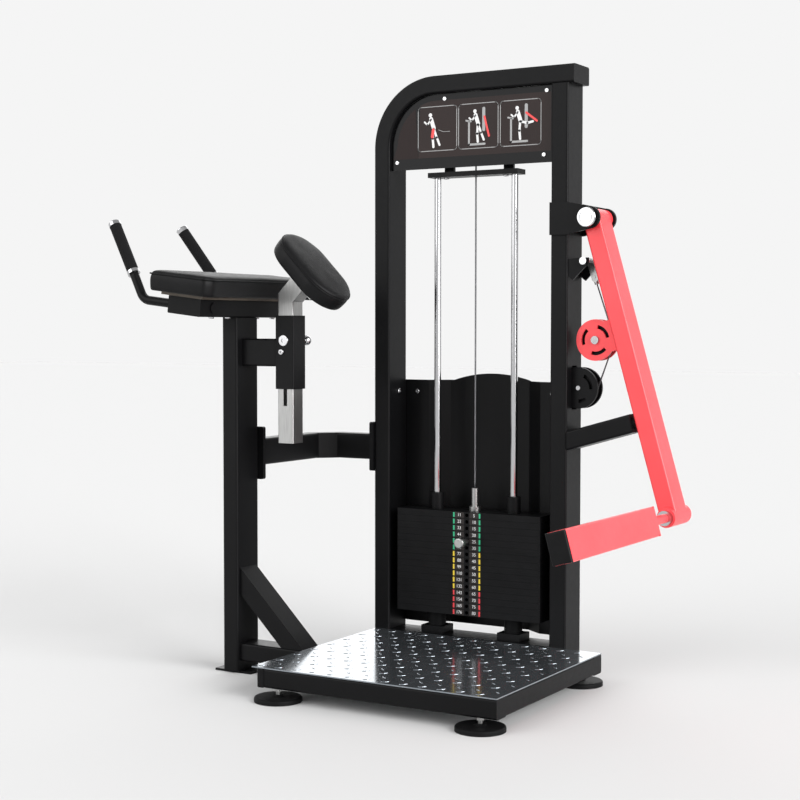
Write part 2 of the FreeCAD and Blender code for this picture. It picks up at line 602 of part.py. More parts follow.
def cable():
    """Steel cable, held tight from its anchor over four wheels to the stack stem."""
    y = S.tower_y
    pitch = S.pulley_pitch + 0.1
    arm = (S.arm_pulley_x, S.arm_pulley_z)
    low = (S.right_post_x + S.pulley_pitch, S.low_pulley_z)
    top_z = S.top_pulley_z
    start = (S.anchor_x + S.strap_end_x, S.anchor_z - S.strap_end_drop)
    touch_in = tangent_from(start, arm, pitch)
    touch_out, touch_low = outer_tangent(arm, low, pitch)

    def point(pair):
        return V(pair[0], y, pair[1])

    def bar(pieces):
        path = Part.Wire(pieces)
        direction = pieces[0].tangentAt(pieces[0].FirstParameter)
        ring = Part.Wire(Part.Circle(path.OrderedVertexes[0].Point, direction,
                                     S.cable_radius).toShape())
        return path.makePipeShell([ring], True, False)

    def arc(centre, begin, end):
        middle = V((begin[0] + end[0]) / 2 - centre[0], 0, (begin[1] + end[1]) / 2 - centre[1])
        middle = point(centre) + middle.normalize() * pitch
        return Part.Arc(point(begin), middle, point(end)).toShape()

    def line(begin, end):
        return Part.LineSegment(point(begin), point(end)).toShape()

    solids("cable_arm_run", [bar([line(start, touch_in), arc(arm, touch_in, touch_out),
                                  line(touch_out, touch_low)])])
    under = (low[0], low[1] - pitch)
    rise_x = low[0] - pitch
    top_right = S.right_post_x - S.pulley_pitch
    top_left = S.stack_x + S.pulley_pitch
    right = (top_right, top_z)
    left = (top_left, top_z)
    frame_run = [arc(low, touch_low, under), arc(low, under, (rise_x, low[1])),
                 line((rise_x, low[1]), (top_right + pitch, top_z)),
                 arc(right, (top_right + pitch, top_z), (top_right, top_z + pitch)),
                 line((top_right, top_z + pitch), (top_left, top_z + pitch)),
                 arc(left, (top_left, top_z + pitch), (top_left - pitch, top_z))]
    shape("cable_frame_run", bar(frame_run))
    stack_top = (S.stack_bottom + (S.plate_count - 1) * S.plate_pitch + S.plate_thick + 64)
    shape("cable_drop", bar([line((top_left - pitch, top_z), (top_left - pitch, stack_top))]))


def tangent_from(start, centre, radius):
    """Where a line from start touches the right-hand side of a circle."""
    dx, dz = start[0] - centre[0], start[1] - centre[1]
    away = math.hypot(dx, dz)
    angle = math.atan2(dz, dx) - math.acos(radius / away)
    return centre[0] + radius * math.cos(angle), centre[1] + radius * math.sin(angle)


def outer_tangent(upper, lower, radius):
    """The two points of the straight line that touches both circles on the right."""
    dx, dz = lower[0] - upper[0], lower[1] - upper[1]
    away = math.hypot(dx, dz)
    side = (-dz / away, dx / away)
    return ((upper[0] + radius * side[0], upper[1] + radius * side[1]),
            (lower[0] + radius * side[0], lower[1] + radius * side[1]))


# ---------------------------------------------------------------- swing arm
def arm_lean():
    """The arm's angle from the vertical, in degrees."""
    return math.degrees(math.atan2(S.arm_foot_x - S.pivot_x, S.pivot_z - S.arm_foot_z))


def arm_solid(half, wall=0.0):
    """The arm's straight run between its two hubs, half a width each side."""
    long = math.hypot(S.arm_foot_x - S.pivot_x, S.pivot_z - S.arm_foot_z)
    run = Part.makeBox(2 * (half - wall), S.arm_deep - 2 * wall, long,
                       V(-half + wall, S.tower_y - S.arm_deep / 2 + wall, -long))
    run = run.makeFillet(S.corner_radius, [e for e in run.Edges if e.BoundBox.ZLength > 100]) \
        if wall == 0 else run
    run.rotate(V(), V(0, 1, 0), -arm_lean())
    run.translate(V(S.pivot_x, 0, S.pivot_z))
    return run


def past_arm():
    """Everything on the far side of the arm's centre line, to trim a plate at the tube."""
    block_shape = Part.makeBox(400, 400, 1400, V(0, S.tower_y - 200, -1100))
    block_shape.rotate(V(), V(0, 1, 0), -arm_lean())
    block_shape.translate(V(S.pivot_x, 0, S.pivot_z))
    return block_shape


def swing_arm():
    hub_near = S.tower_y - S.post_deep / 2 + S.fit_gap
    hub_long = S.post_deep - 2 * S.fit_gap
    upper = cylinder(S.pivot_x, hub_near, S.pivot_z, S.hub_radius, hub_long)
    foot_near = hub_near - 8
    foot_long = S.foot_hub_far_y - foot_near
    lower = cylinder(S.arm_foot_x, foot_near, S.arm_foot_z, S.hub_radius, foot_long)
    beam = arm_solid(S.arm_wide / 2).cut(arm_solid(S.arm_wide / 2, S.wall)).fuse([upper, lower])
    bore = S.hub_bore + S.axle_gap
    beam = beam.cut(cylinder(S.pivot_x, hub_near, S.pivot_z, bore, hub_long))
    shaft_bore = S.foot_shaft_radius + S.axle_gap
    shape("swing_arm", beam.cut(cylinder(S.arm_foot_x, foot_near, S.arm_foot_z, shaft_bore,
                                         foot_long)))
    post_left = S.right_post_x - S.post_wide / 2
    post_right = S.right_post_x + S.post_wide / 2
    root_high, root_low = S.clevis_root_top, S.clevis_root_bottom
    tip = S.clevis_radius
    plates = []
    near_face = S.tower_y - S.post_deep / 2
    far_face = S.tower_y + S.post_deep / 2
    for y in (near_face - S.clevis_thick, far_face):
        plate = prism([(post_left, root_low), (post_right, root_low),
                       (S.pivot_x + 4, S.pivot_z - tip), (S.pivot_x + 4, S.pivot_z + tip),
                       (post_right, root_high), (post_left, root_high)], y, y + S.clevis_thick,
                      {2: (S.pivot_x + 4 + tip, S.pivot_z)})
        plates.append(plate.cut(cylinder(S.pivot_x, y, S.pivot_z, S.hub_bore, S.clevis_thick)))
    solids("pivot_clevis", plates)
    shaft_near = near_face - S.clevis_thick
    shaft = cylinder(S.pivot_x, shaft_near, S.pivot_z, S.hub_bore,
                     S.post_deep + 2 * S.clevis_thick)
    caps = []
    for y, out in ((shaft_near, -1), (far_face + S.clevis_thick, 1)):
        cap = Part.makeCylinder(27, 14, V(S.pivot_x, y, S.pivot_z), V(0, out, 0))
        rim = [e for e in cap.Edges if abs(e.BoundBox.Center.y - (y + out * 14)) < 1]
        cap = cap.makeFillet(3, rim)
        groove = Part.makeCylinder(19, 2, V(S.pivot_x, y + out * 12, S.pivot_z), V(0, out, 0)).cut(
            Part.makeCylinder(16, 2, V(S.pivot_x, y + out * 12, S.pivot_z), V(0, out, 0)))
        caps.append(cap.cut(groove))
    shape("pivot_shaft", shaft.fuse(caps))


def foot_bar():
    body = tube("foot_bar_tube", "arm_foot_x", "bar_near_y", "arm_foot_z", "bar_wide",
                "bar_high", "bar_far_y - bar_near_y",
                turn((0, 1, 0), -S.bar_tilt).multiply(ALONG_Y))
    keep(body, "foot_bar")
    near = S.bar_near_y
    cap = Part.makeBox(S.bar_wide - 1, S.foot_cap_thick, S.bar_high - 1,
                       V(-S.bar_wide / 2 + 0.5, near - S.foot_cap_thick, -S.bar_high / 2 + 0.5))
    cap = rounded(cap, 4, lambda e: e.BoundBox.YMax < near - S.foot_cap_thick / 2)
    cap.rotate(V(), V(0, 1, 0), -S.bar_tilt)
    cap.translate(V(S.arm_foot_x, 0, S.arm_foot_z))
    shape("foot_bar_cap", cap)
    far = S.bar_far_y
    disc = Part.makeBox(S.bar_wide, 6, S.bar_high, V(-S.bar_wide / 2, far, -S.bar_high / 2))
    disc.rotate(V(), V(0, 1, 0), -S.bar_tilt)
    disc.translate(V(S.arm_foot_x, 0, S.arm_foot_z))
    long = S.foot_hub_far_y + 10 - far - 6
    shaft = cylinder(S.arm_foot_x, far + 6, S.arm_foot_z, S.foot_shaft_radius, long)
    collar_long = S.tower_y - S.post_deep / 2 - 8 - far - 6 - S.fit_gap
    collar = cylinder(S.arm_foot_x, far + 6, S.arm_foot_z, 20, min(24, collar_long))
    shape("foot_bar_shaft", disc.fuse([shaft, collar]))


def foot_shaft_rings():
    """Steel rings at both ends of the lower hub, clear of the turning shaft."""
    bore = S.foot_shaft_radius + S.axle_gap
    rings = []
    for y, long in ((S.tower_y - S.post_deep / 2 - 22 + S.fit_gap, 14), (S.foot_hub_far_y, 8)):
        ring = cylinder(S.arm_foot_x, y, S.arm_foot_z, 20, long)
        rings.append(ring.cut(cylinder(S.arm_foot_x, y, S.arm_foot_z, bore, long)))
    return rings


def stop_and_anchor():
    face = S.right_post_x + S.post_wide / 2
    near = S.tower_y - S.post_deep / 2
    far = S.tower_y + S.post_deep / 2
    rise = math.tan(math.radians(S.stop_rise))
    foot = S.stop_bottom
    head = foot + S.stop_deep
    lean = math.radians(arm_lean())
    arm_face = (S.pivot_x + (S.pivot_z - S.stop_pad_z) * math.tan(lean)
                - S.arm_wide / 2 / math.cos(lean))
    reach = arm_face - 14
    bottom_end = (reach + 12, foot + (reach + 12 - face) * rise)
    top_end = (reach, head + (reach - face) * rise)
    outline = [(face, foot), bottom_end, top_end, (face, head)]
    body = prism(outline, near, far)
    body = rounded(body, S.corner_radius, lambda e: e.BoundBox.XLength > 80)
    shape("stop_arm", body)
    middle = V((bottom_end[0] + top_end[0]) / 2, near + 20, (bottom_end[1] + top_end[1]) / 2)
    direction = V(math.cos(lean), 0, math.sin(lean))
    distance = (S.pivot_x - middle.x + (S.pivot_z - middle.z) * math.tan(lean)) * math.cos(lean)
    thick = distance - S.arm_wide / 2 - 0.3
    pads = []
    for y in (S.tower_y - 25, S.tower_y + 25):
        start = V(middle.x, y, middle.z) - direction * 4
        pad = Part.makeCylinder(15, thick + 4, start, direction).cut(body)
        pads.append(pad)
    solids("rubber_bumpers", pads + stack_bumpers())

    x, z = S.anchor_x, S.anchor_z
    ears = []
    for y in (near + 6, far - 12):
        ears.append(prism([(face, 1147), (face, 1101), (face + 14, 1090), (x + 13, z - 6),
                           (x + 13, z + 9), (x - 6, z + 9)], y, y + 6))
    plate = Part.makeBox(6, S.post_deep - 24, 46, V(face, near + 12, 1101))
    shape("anchor_bracket", ears[0].fuse([ears[1], plate]))
    pin = cylinder(x, near - 2, z, 5, S.post_deep + 4)
    heads = [cylinder(x, y, z, 10, 5) for y in (near - 2, far - 3)]
    solids("cross_bolts", pulley_axles() + [pin.fuse(heads).cut(ears)])
    angle = math.degrees(math.atan2(S.strap_end_x, S.strap_end_drop))
    strap = Part.makeBox(18, 10, 66, V(-9, S.tower_y - 5, -58))
    strap = rounded(strap, 8, lambda e: e.BoundBox.YLength > 5 and e.BoundBox.XLength < 1
                    and e.BoundBox.ZLength < 1)
    strap = strap.cut(cylinder(0, S.tower_y - 6, 0, 5, 12))
    reach = math.hypot(S.strap_end_x, S.strap_end_drop) - 58 - S.axle_gap
    ferrule = Part.makeCylinder(6, reach, V(0, S.tower_y, -58), V(0, 0, -1))
    rivets = [cylinder(0, S.tower_y - 7, z_low, 4, 14) for z_low in (-24, -44)]
    strap = strap.fuse([ferrule] + rivets)
    strap.rotate(V(0, S.tower_y, 0), V(0, 1, 0), -angle)
    strap.translate(V(x, 0, z))
    shape("cable_anchor", strap)


# ---------------------------------------------------------------- user stand
def stand():
    column = tube("column_tube", "stand_x", "stand_y", "base_plate_thick", "stand_wide",
                  "stand_deep", "stand_high + 20")
    lid = doc.addObject("Part::Box", "column_trim")
    bind(lid, Length="4 * stand_wide", Width="2 * stand_deep", Height=200)
    lid.Placement = FreeCAD.Placement(on_elbow_plane(-2 * S.stand_wide, -S.stand_deep,
                                                     -S.box_high - S.pad_board),
                                      turn((0, 1, 0), S.elbow_tilt))
    trimmed = cut("trimmed_column", column, [lid])
    plate = block("stand_base_plate", "stand_x", "stand_y", 0, "stand_wide + 72",
                  "low_tube_wide + 3", "base_plate_thick")
    keep(fuse("stand_column", [trimmed, plate]), "stand_column")
    keep(tube("low_tube_run", "stand_x + stand_wide / 2", "stand_y",
              "deck_top - tread_thick - rail_size / 2", "rail_size", "low_tube_wide",
              "deck_x - deck_long / 2 + cap_long - stand_x - stand_wide / 2", ALONG_X), "stand_low_tube")
    face = S.stand_x + S.stand_wide / 2
    top = S.deck_top - S.tread_thick
    half = S.low_tube_wide / 2
    run = S.deck_x - S.deck_long / 2 - S.tread_lip - 1 - face
    shape("stand_brace", prism([(face, top + run), (face, top + run - S.brace_deep),
                                (face + run - S.brace_deep, top), (face + run, top)],
                               S.stand_y - half, S.stand_y + half))

    back = S.stand_y + S.stand_deep / 2
    start = back + S.flange_thick
    end = S.left_post_x - S.post_wide / 2 - S.flange_thick
    thick = 50
    inner_cut = 40
    outer_cut = inner_cut + thick * 2 * math.tan(math.pi / 8)
    inner_x, outer_x = S.stand_x + thick / 2, S.stand_x - thick / 2
    inner_y, outer_y = S.link_y - thick / 2, S.link_y + thick / 2
    outline = [(inner_x, start), (inner_x, inner_y - inner_cut), (inner_x + inner_cut, inner_y),
               (end, inner_y), (end, outer_y), (outer_x + outer_cut, outer_y),
               (outer_x, outer_y - outer_cut), (outer_x, start)]
    corners = [V(x, y, S.link_bottom) for x, y in outline]
    link = Part.Face(Part.makePolygon(corners + corners[:1])).extrude(V(0, 0, S.link_high))
    link = rounded(link, S.corner_radius, lambda e: e.BoundBox.ZLength < 1 and e.Length > 60)
    flange_z = S.link_bottom - 38
    near_flange = Part.makeBox(84, S.flange_thick, 148, V(S.stand_x - 42, back, flange_z))
    far_flange = Part.makeBox(S.flange_thick, 116, 142, V(end, 255, flange_z + 11))
    flanges = []
    for item, long_edge in ((near_flange, "YLength"), (far_flange, "XLength")):
        flanges.append(rounded(item, S.corner_radius,
                               lambda e: abs(getattr(e.BoundBox, long_edge) - S.flange_thick) < 0.1
                               and e.Length < S.flange_thick + 1))
    shape("link_arm", link.fuse(flanges))


def on_elbow_plane(u, v, w):
    """A point u along, v across and w above the elbow pad's tilted underside."""
    angle = math.radians(S.elbow_tilt)
    x = S.elbow_x + u * math.cos(angle) + w * math.sin(angle)
    z = S.elbow_bottom - u * math.sin(angle) + w * math.cos(angle)
    return V(x, S.elbow_y + v, z)


def tilted(solid):
    """Move a solid from the origin onto the elbow pad's tilted underside."""
    solid.rotate(V(), V(0, 1, 0), S.elbow_tilt)
    solid.translate(on_elbow_plane(0, 0, 0))
    return solid


def elbow_rest():
    half_x = S.elbow_long / 2
    half_y = S.elbow_wide / 2
    corner = 25
    outline = [(-half_x, -half_y), (half_x - 12, -half_y), (half_x, -half_y + corner),
               (half_x, half_y - corner), (half_x - 12, half_y), (-half_x, half_y)]
    points = [V(x, y, 0) for x, y in outline]
    base = Part.makePolygon(points[:3])
    bay = Part.Arc(points[2], V(half_x - 20, 0, 0), points[3]).toShape()
    rest = Part.makePolygon(points[3:] + points[:1])
    wire = Part.Wire(base.Edges + [bay] + rest.Edges)
    pad = Part.Face(wire).extrude(V(0, 0, S.elbow_thick))
    pad = rounded(pad, 9, lambda e: e.BoundBox.ZMin > S.elbow_thick - 0.5)
    shape("elbow_pad", tilted(pad))
    board = Part.makeBox(S.box_long + 30, S.box_wide + 40, S.pad_board,
                         V(-S.box_long / 2 - 30, -S.box_wide / 2 - 20, -S.pad_board))
    shape("elbow_board", tilted(board))
    box = Part.makeBox(S.box_long, S.box_wide, S.box_high,
                       V(-S.box_long / 2 - 20, -S.box_wide / 2, -S.box_high - S.pad_board))
    box = rounded(box, 4, lambda e: e.BoundBox.YLength > 100)
    bars = []
    grips = []
    caps = []
    collars = []
    root_x = -S.box_long / 2 - 20
    angle = math.radians(S.elbow_tilt)
    for side in (-1, 1):
        root = on_elbow_plane(root_x, side * S.handle_half_gap, -S.pad_board - S.box_high / 2)
        bend_x = S.stand_x - S.handle_bend_back
        bend = V(bend_x, S.stand_y + side * S.handle_half_gap,
                 root.z + (root.x - bend_x) * math.tan(angle))
        collar = V(S.stand_x - S.grip_foot_back, S.stand_y + side * S.grip_foot_half_gap,
                   S.grip_foot_z)
        tip = V(S.stand_x - S.grip_tip_back, S.stand_y + side * S.grip_tip_half_gap, S.grip_tip_z)
        along = (tip - collar).normalize()
        bar = swept([root, bend, collar, tip], [38, 24], S.handle_radius)
        grip = Part.makeCylinder(S.grip_radius, (tip - collar).Length - 32, collar + along * 18, along)
        grip = grip.cut(Part.makeCylinder(S.handle_radius, 300, collar, along))
        grips.append(grip)
        cap = Part.makeCylinder(S.grip_radius + 1, 14, tip - along * 14, along)
        cap = rounded(cap, 4, lambda e: abs(e.BoundBox.Center.distanceToPoint(tip)) < 3)
        caps.append(cap.cut(Part.makeCylinder(S.handle_radius, 12, tip - along * 14, along)))
        bars.append(bar.cut(Part.makeCylinder(S.grip_radius, 4, tip - along * 2, along)))
        ring = Part.makeCylinder(S.grip_radius + 1, 10, collar + along * 8, along)
        collars.append(ring.cut(Part.makeCylinder(S.handle_radius, 24, collar, along)))
    solids("handle_bars", bars)
    solids("handle_grips", grips)
    solids("handle_rings", caps + collars)
    shape("elbow_box", tilted(box))
    plug = Part.makeCylinder(15, 3, on_elbow_plane(S.box_long / 2 - 20, -151, -S.pad_board - 24),
                             V(math.cos(angle), 0, -math.sin(angle)))
    solids("plastic_caps", rail_end_caps() + [plug])


def chest_rest():
    size = S.inner_post_size
    half = size / 2
    x = S.sleeve_x
    tilt = math.radians(90 - S.chest_tilt)
    normal = V(math.cos(tilt), 0, math.sin(tilt))
    back = V(S.chest_x, 0, S.chest_z) - normal * (S.chest_thick / 2 + 8)
    along = V(math.cos(math.pi / 4), 0, math.sin(math.pi / 4))
    bracket = Part.makeBox(S.sleeve_x - S.sleeve_size / 2 - S.stand_x - S.stand_wide / 2, size,
                           S.bracket_high, V(S.stand_x + S.stand_wide / 2, S.stand_y - half,
                                             S.bracket_bottom))
    bracket = rounded(bracket, S.corner_radius, lambda e: e.BoundBox.XLength > 50)

    gap = S.fit_gap
    outer = Part.makeBox(S.sleeve_size, S.sleeve_size, S.sleeve_high,
                         V(x - S.sleeve_size / 2, S.stand_y - S.sleeve_size / 2, S.sleeve_bottom))
    outer = rounded(outer, 4, lambda e: e.BoundBox.ZLength > 100)
    bore = Part.makeBox(size + 2 * gap, size + 2 * gap, S.sleeve_high,
                        V(x - half - gap, S.stand_y - half - gap, S.sleeve_bottom))
    pin_z = S.pop_pin_z
    pin_y = S.stand_y + S.sleeve_size / 2
    sleeve = outer.cut(bore).cut(cylinder(x, S.stand_y + half, pin_z, 6.5, 40))
    housing = cylinder(x, pin_y, pin_z, 12, 22).cut(cylinder(x, pin_y, pin_z, 6.4, 22))
    shape("height_sleeve", sleeve.fuse([bracket, housing]))

    drop = S.inner_post_mitre - S.inner_post_bottom
    upright = Part.makeBox(size, size, drop, V(x - half, S.stand_y - half, S.inner_post_bottom))
    lower = V(x + half, S.stand_y - half, S.inner_post_mitre)
    upper = V(x - half, S.stand_y - half, S.inner_post_mitre + size * math.tan(math.pi / 8))
    reach = 200
    head = Part.makePolygon([V(x - half, S.stand_y - half, S.inner_post_mitre), lower,
                             lower + along * reach, upper + along * reach, upper,
                             V(x - half, S.stand_y - half, S.inner_post_mitre)])
    head = Part.Face(head).extrude(V(0, size, 0))
    trim = Part.makeBox(400, 400, 400, V(-200, -200, 0))
    trim.Placement = FreeCAD.Placement(back + V(0, S.stand_y, 0), FreeCAD.Rotation(V(0, 0, 1), normal))
    post = upright.fuse(head.cut(trim)).removeSplitter()
    post = rounded(post, 4, lambda e: e.BoundBox.ZLength > 200 and e.BoundBox.XLength < 1)
    hollow = Part.makeBox(size - 2 * S.wall, size - 2 * S.wall, drop - 10,
                          V(x - half + S.wall, S.stand_y - half + S.wall, S.inner_post_bottom))
    slot = Part.makeBox(12, half + 1, 150, V(x - 6, S.stand_y - half - 1, 748))
    post = post.cut(hollow).cut(slot)
    for level in range(-2, 3):
        post = post.cut(cylinder(x, S.stand_y, pin_z + level * S.hole_pitch, 6.5, half + 1))
    spin = FreeCAD.Rotation(V(0, 0, 1), normal)
    plate = Part.makeBox(150, 110, 8, V(-75, -55, 0))
    plate.Placement = FreeCAD.Placement(back + V(0, S.stand_y, 0), spin)
    shape("chest_post", post.fuse(plate))
    radius = S.chest_wide / 2
    straight = (S.chest_long - S.chest_wide) / 2
    ring = [Part.LineSegment(V(-straight, -radius, 0), V(straight, -radius, 0)).toShape(),
            Part.Arc(V(straight, -radius, 0), V(straight + radius, 0, 0), V(straight, radius, 0)).toShape(),
            Part.LineSegment(V(straight, radius, 0), V(-straight, radius, 0)).toShape(),
            Part.Arc(V(-straight, radius, 0), V(-straight - radius, 0, 0),
                     V(-straight, -radius, 0)).toShape()]
    pad = Part.Face(Part.Wire(ring)).extrude(V(0, 0, S.chest_thick))
    pad = rounded(pad, 8, lambda e: e.BoundBox.ZLength < 0.5)
    pad.Placement = FreeCAD.Placement(back + normal * 8 + V(0, S.stand_y, 0), spin)
    shape("chest_pad", pad)

    tip_y = S.stand_y + half + gap
    stem = cylinder(x, tip_y, pin_z, 6, pin_y + 40 - tip_y)
    ball = Part.makeSphere(14, V(x, pin_y + 48, pin_z))
    shape("pop_pin", stem.fuse(ball))


# ---------------------------------------------------------------- fasteners
def fasteners():
    """Every visible round-headed bolt on the fixed frame."""
    front = S.tower_y - S.post_deep / 2
    toward_user = (0, -1, 0)
    spots = [(S.right_post_x, front, 397, 9, 5, toward_user)]
    sign_y = front + S.sign_inset
    for x, z in ((43, 1605), (360, 1605), (-112, 1433), (352, 1432)):
        spots.append((x, sign_y, z, 6, 3, toward_user))
    for x in (-93, 341.5):
        spots.append((x, S.tower_y + S.post_deep / 2, 776, 7, 4, toward_user))
    spots.append((S.left_post_x + S.post_wide / 2, 319, 777, 9, 5, (1, 0, 0)))
    for y in (275, 306):
        for z in (S.link_bottom - 12, S.link_bottom + S.link_high + 12):
            spots.append((S.left_post_x - S.post_wide / 2 - S.flange_thick, y, z, 8, 5, (-1, 0, 0)))
    sleeve_front = S.stand_y - S.sleeve_size / 2
    spots.append((S.sleeve_x - 9, sleeve_front, S.pop_pin_z - 31, 8, 5, toward_user))
    spots.append((S.sleeve_x - 2, sleeve_front, S.pop_pin_z, 15, 3, toward_user))
    for side in (-1, 1):
        spots.append((S.stack_x + side * (S.rod_half_gap - 28), S.tower_y, S.crossbar_bottom, 8, 5,
                      (0, 0, -1)))
    under = on_elbow_plane(20, 0, -S.box_high - S.pad_board)
    for y in (-215, -140, -5, 70):
        spots.append((under.x, y, under.z, 8, 5, (-math.sin(math.radians(S.elbow_tilt)), 0,
                                                 -math.cos(math.radians(S.elbow_tilt)))))
    solids("frame_bolts", [dome(*spot) for spot in spots])


def write_out():
    """Refuse a broken model, then write one file for each named sub-part."""
    doc.recompute()
    for item in doc.Objects:
        if "Invalid" in item.State or "Error" in item.State:
            raise RuntimeError("%s failed: %s" % (item.Label, item.State))
    os.makedirs("parts", exist_ok=True)
    for item in NODES:
        if item.Shape.isNull() or not item.Shape.isValid() or not item.Shape.Solids:
            raise RuntimeError("%s has no valid shape" % item.Label)
        item.Shape.exportStep("parts/%s.step" % item.Label)
    print(len(NODES), "sub-parts written")


platform()
tower()
weight_stack()
shroud()
pulleys()
cable()
swing_arm()
foot_bar()
stop_and_anchor()
stand()
elbow_rest()
chest_rest()
fasteners()
write_out()
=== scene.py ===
"""Looks for the standing kick-back machine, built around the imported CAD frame. Metres."""
import json
import math
import bmesh
import bpy
from mathutils import Euler, Matrix, Vector, noise


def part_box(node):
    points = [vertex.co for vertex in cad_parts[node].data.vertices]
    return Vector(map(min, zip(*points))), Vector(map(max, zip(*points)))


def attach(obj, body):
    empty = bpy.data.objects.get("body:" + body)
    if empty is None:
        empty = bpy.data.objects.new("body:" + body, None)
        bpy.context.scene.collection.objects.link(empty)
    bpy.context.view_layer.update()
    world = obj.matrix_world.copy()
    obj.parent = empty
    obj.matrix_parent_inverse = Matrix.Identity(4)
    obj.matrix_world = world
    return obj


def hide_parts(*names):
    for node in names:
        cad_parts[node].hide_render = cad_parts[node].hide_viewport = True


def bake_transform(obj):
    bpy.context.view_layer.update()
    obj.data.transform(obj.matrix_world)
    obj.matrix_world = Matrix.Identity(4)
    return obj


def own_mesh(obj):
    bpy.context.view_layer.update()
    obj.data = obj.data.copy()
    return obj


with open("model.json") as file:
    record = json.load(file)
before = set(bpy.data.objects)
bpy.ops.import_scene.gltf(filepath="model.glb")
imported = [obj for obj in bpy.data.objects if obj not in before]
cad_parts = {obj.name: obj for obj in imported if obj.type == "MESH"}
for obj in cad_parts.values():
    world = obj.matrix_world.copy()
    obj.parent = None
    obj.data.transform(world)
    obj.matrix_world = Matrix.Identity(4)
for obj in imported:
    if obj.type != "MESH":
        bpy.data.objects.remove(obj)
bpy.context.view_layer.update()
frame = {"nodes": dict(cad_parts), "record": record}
NODES = frame["nodes"]


# ---------------------------------------------------------------- materials
class Shader:
    """A short way to write one procedural material."""

    def __init__(self, name, colour, rough, metal=0.0):
        self.material = bpy.data.materials.new(name)
        self.material.use_nodes = True
        self.tree = self.material.node_tree
        self.surface = self.tree.nodes["Principled BSDF"]
        self.place = self.add("ShaderNodeTexCoord").outputs["Object"]
        self.surface.inputs["Base Color"].default_value = (*colour, 1)
        self.surface.inputs["Roughness"].default_value = rough
        self.surface.inputs["Metallic"].default_value = metal
        self.normal = None

    def add(self, kind, **settings):
        node = self.tree.nodes.new(kind)
        for key, value in settings.items():
            setattr(node, key, value)
        return node

    def link(self, start, end):
        self.tree.links.new(start, end)

    def stretch(self, scale):
        mapping = self.add("ShaderNodeMapping")
        mapping.inputs["Scale"].default_value = scale
        self.link(self.place, mapping.inputs["Vector"])
        return mapping.outputs["Vector"]

    def noise(self, scale, detail=3.0, where=None):
        node = self.add("ShaderNodeTexNoise")
        node.inputs["Scale"].default_value = scale
        node.inputs["Detail"].default_value = detail
        self.link(where or self.place, node.inputs["Vector"])
        return node.outputs["Fac"]

    def cells(self, scale, feature="F1"):
        node = self.add("ShaderNodeTexVoronoi", feature=feature)
        node.inputs["Scale"].default_value = scale
        self.link(self.place, node.inputs["Vector"])
        return node.outputs["Distance"]

    def ramp(self, value, stops):
        node = self.add("ShaderNodeValToRGB")
        for index, (place, colour) in enumerate(stops):
            if index < 2:
                stop = node.color_ramp.elements[index]
                stop.position = place
            else:
                stop = node.color_ramp.elements.new(place)
            stop.color = (*colour, 1)
        self.link(value, node.inputs["Fac"])
        return node.outputs["Color"]

    def vary_colour(self, value, low, high, start=0.3, end=0.7):
        self.link(self.ramp(value, [(start, low), (end, high)]), self.surface.inputs["Base Color"])

    def vary_rough(self, value, low, high):
        node = self.add("ShaderNodeMapRange")
        node.inputs["To Min"].default_value = low
        node.inputs["To Max"].default_value = high
        self.link(value, node.inputs["Value"])
        self.link(node.outputs["Result"], self.surface.inputs["Roughness"])

    def bump(self, value, strength, distance):
        node = self.add("ShaderNodeBump")
        node.inputs["Strength"].default_value = strength
        node.inputs["Distance"].default_value = distance
        self.link(value, node.inputs["Height"])
        if self.normal:
            self.link(self.normal, node.inputs["Normal"])
        self.normal = node.outputs["Normal"]
        self.link(self.normal, self.surface.inputs["Normal"])

    def set(self, **values):
        for key, value in values.items():
            self.surface.inputs[key.replace("_", " ")].default_value = value


def scaled(colour, factor):
    """A colour made lighter or darker."""
    return tuple(part * factor for part in colour)


def powder_coat(name, colour, rough, shine):
    """Baked powder paint: orange peel, a slight mottle and fine dust."""
    paint = Shader(name, colour, rough)
    paint.vary_colour(paint.noise(7, 4), scaled(colour, 0.88), scaled(colour, 1.14))
    paint.vary_rough(paint.noise(60, 5), rough - 0.06, rough + 0.08)
    paint.bump(paint.noise(750, 2), 0.20, 0.0004)
    paint.bump(paint.noise(2600, 1), 0.10, 0.0002)
    paint.set(Specular_IOR_Level=shine)
    return paint.material


def polished(name, colour, rough):
    """Plated steel with faint swirl marks."""
    metal = Shader(name, colour, rough, 1.0)
    metal.vary_rough(metal.noise(90, 6), rough, rough + 0.10)
    metal.bump(metal.noise(1400, 2, metal.stretch((1, 1, 0.08))), 0.05, 0.0001)
    return metal.material


def brushed(name, colour, rough):
    """Steel with a fine lengthwise grain."""
    metal = Shader(name, colour, rough, 1.0)
    lines = metal.noise(900, 4, metal.stretch((1, 1, 0.02)))
    metal.vary_colour(lines, scaled(colour, 0.78), scaled(colour, 1.12))
    metal.vary_rough(lines, rough - 0.06, rough + 0.12)
    metal.bump(lines, 0.25, 0.0002)
    return metal.material


def strand(name, colour):
    """Twisted wire rope under a thin clear coat, with painted shade in the grooves between its strands
    and a painted highlight on their crests.
    """
    wire = Shader(name, colour, 0.35, 0.9)
    wave = wire.add("ShaderNodeTexWave", wave_type="BANDS", bands_direction="DIAGONAL")
    wave.inputs["Scale"].default_value = 160
    wire.link(wire.place, wave.inputs["Vector"])
    # Colour follows the bump's bands: painted shade in the grooves between strands, a painted
    # highlight on the crests.
    wire.vary_colour(wave.outputs["Fac"], scaled(colour, 0.35), scaled(colour, 1.3), 0.2, 0.8)
    wire.bump(wave.outputs["Fac"], 0.8, 0.0006)
    return wire.material


def moulded(name, colour, rough):
    """Moulded plastic with a spark-eroded texture."""
    plastic = Shader(name, colour, rough)
    plastic.vary_colour(plastic.noise(40, 3), scaled(colour, 0.85), scaled(colour, 1.2))
    plastic.vary_rough(plastic.noise(220, 4), rough - 0.05, rough + 0.1)
    plastic.bump(plastic.noise(1900, 3), 0.25, 0.0003)
    plastic.set(Specular_IOR_Level=DULL)
    return plastic.material


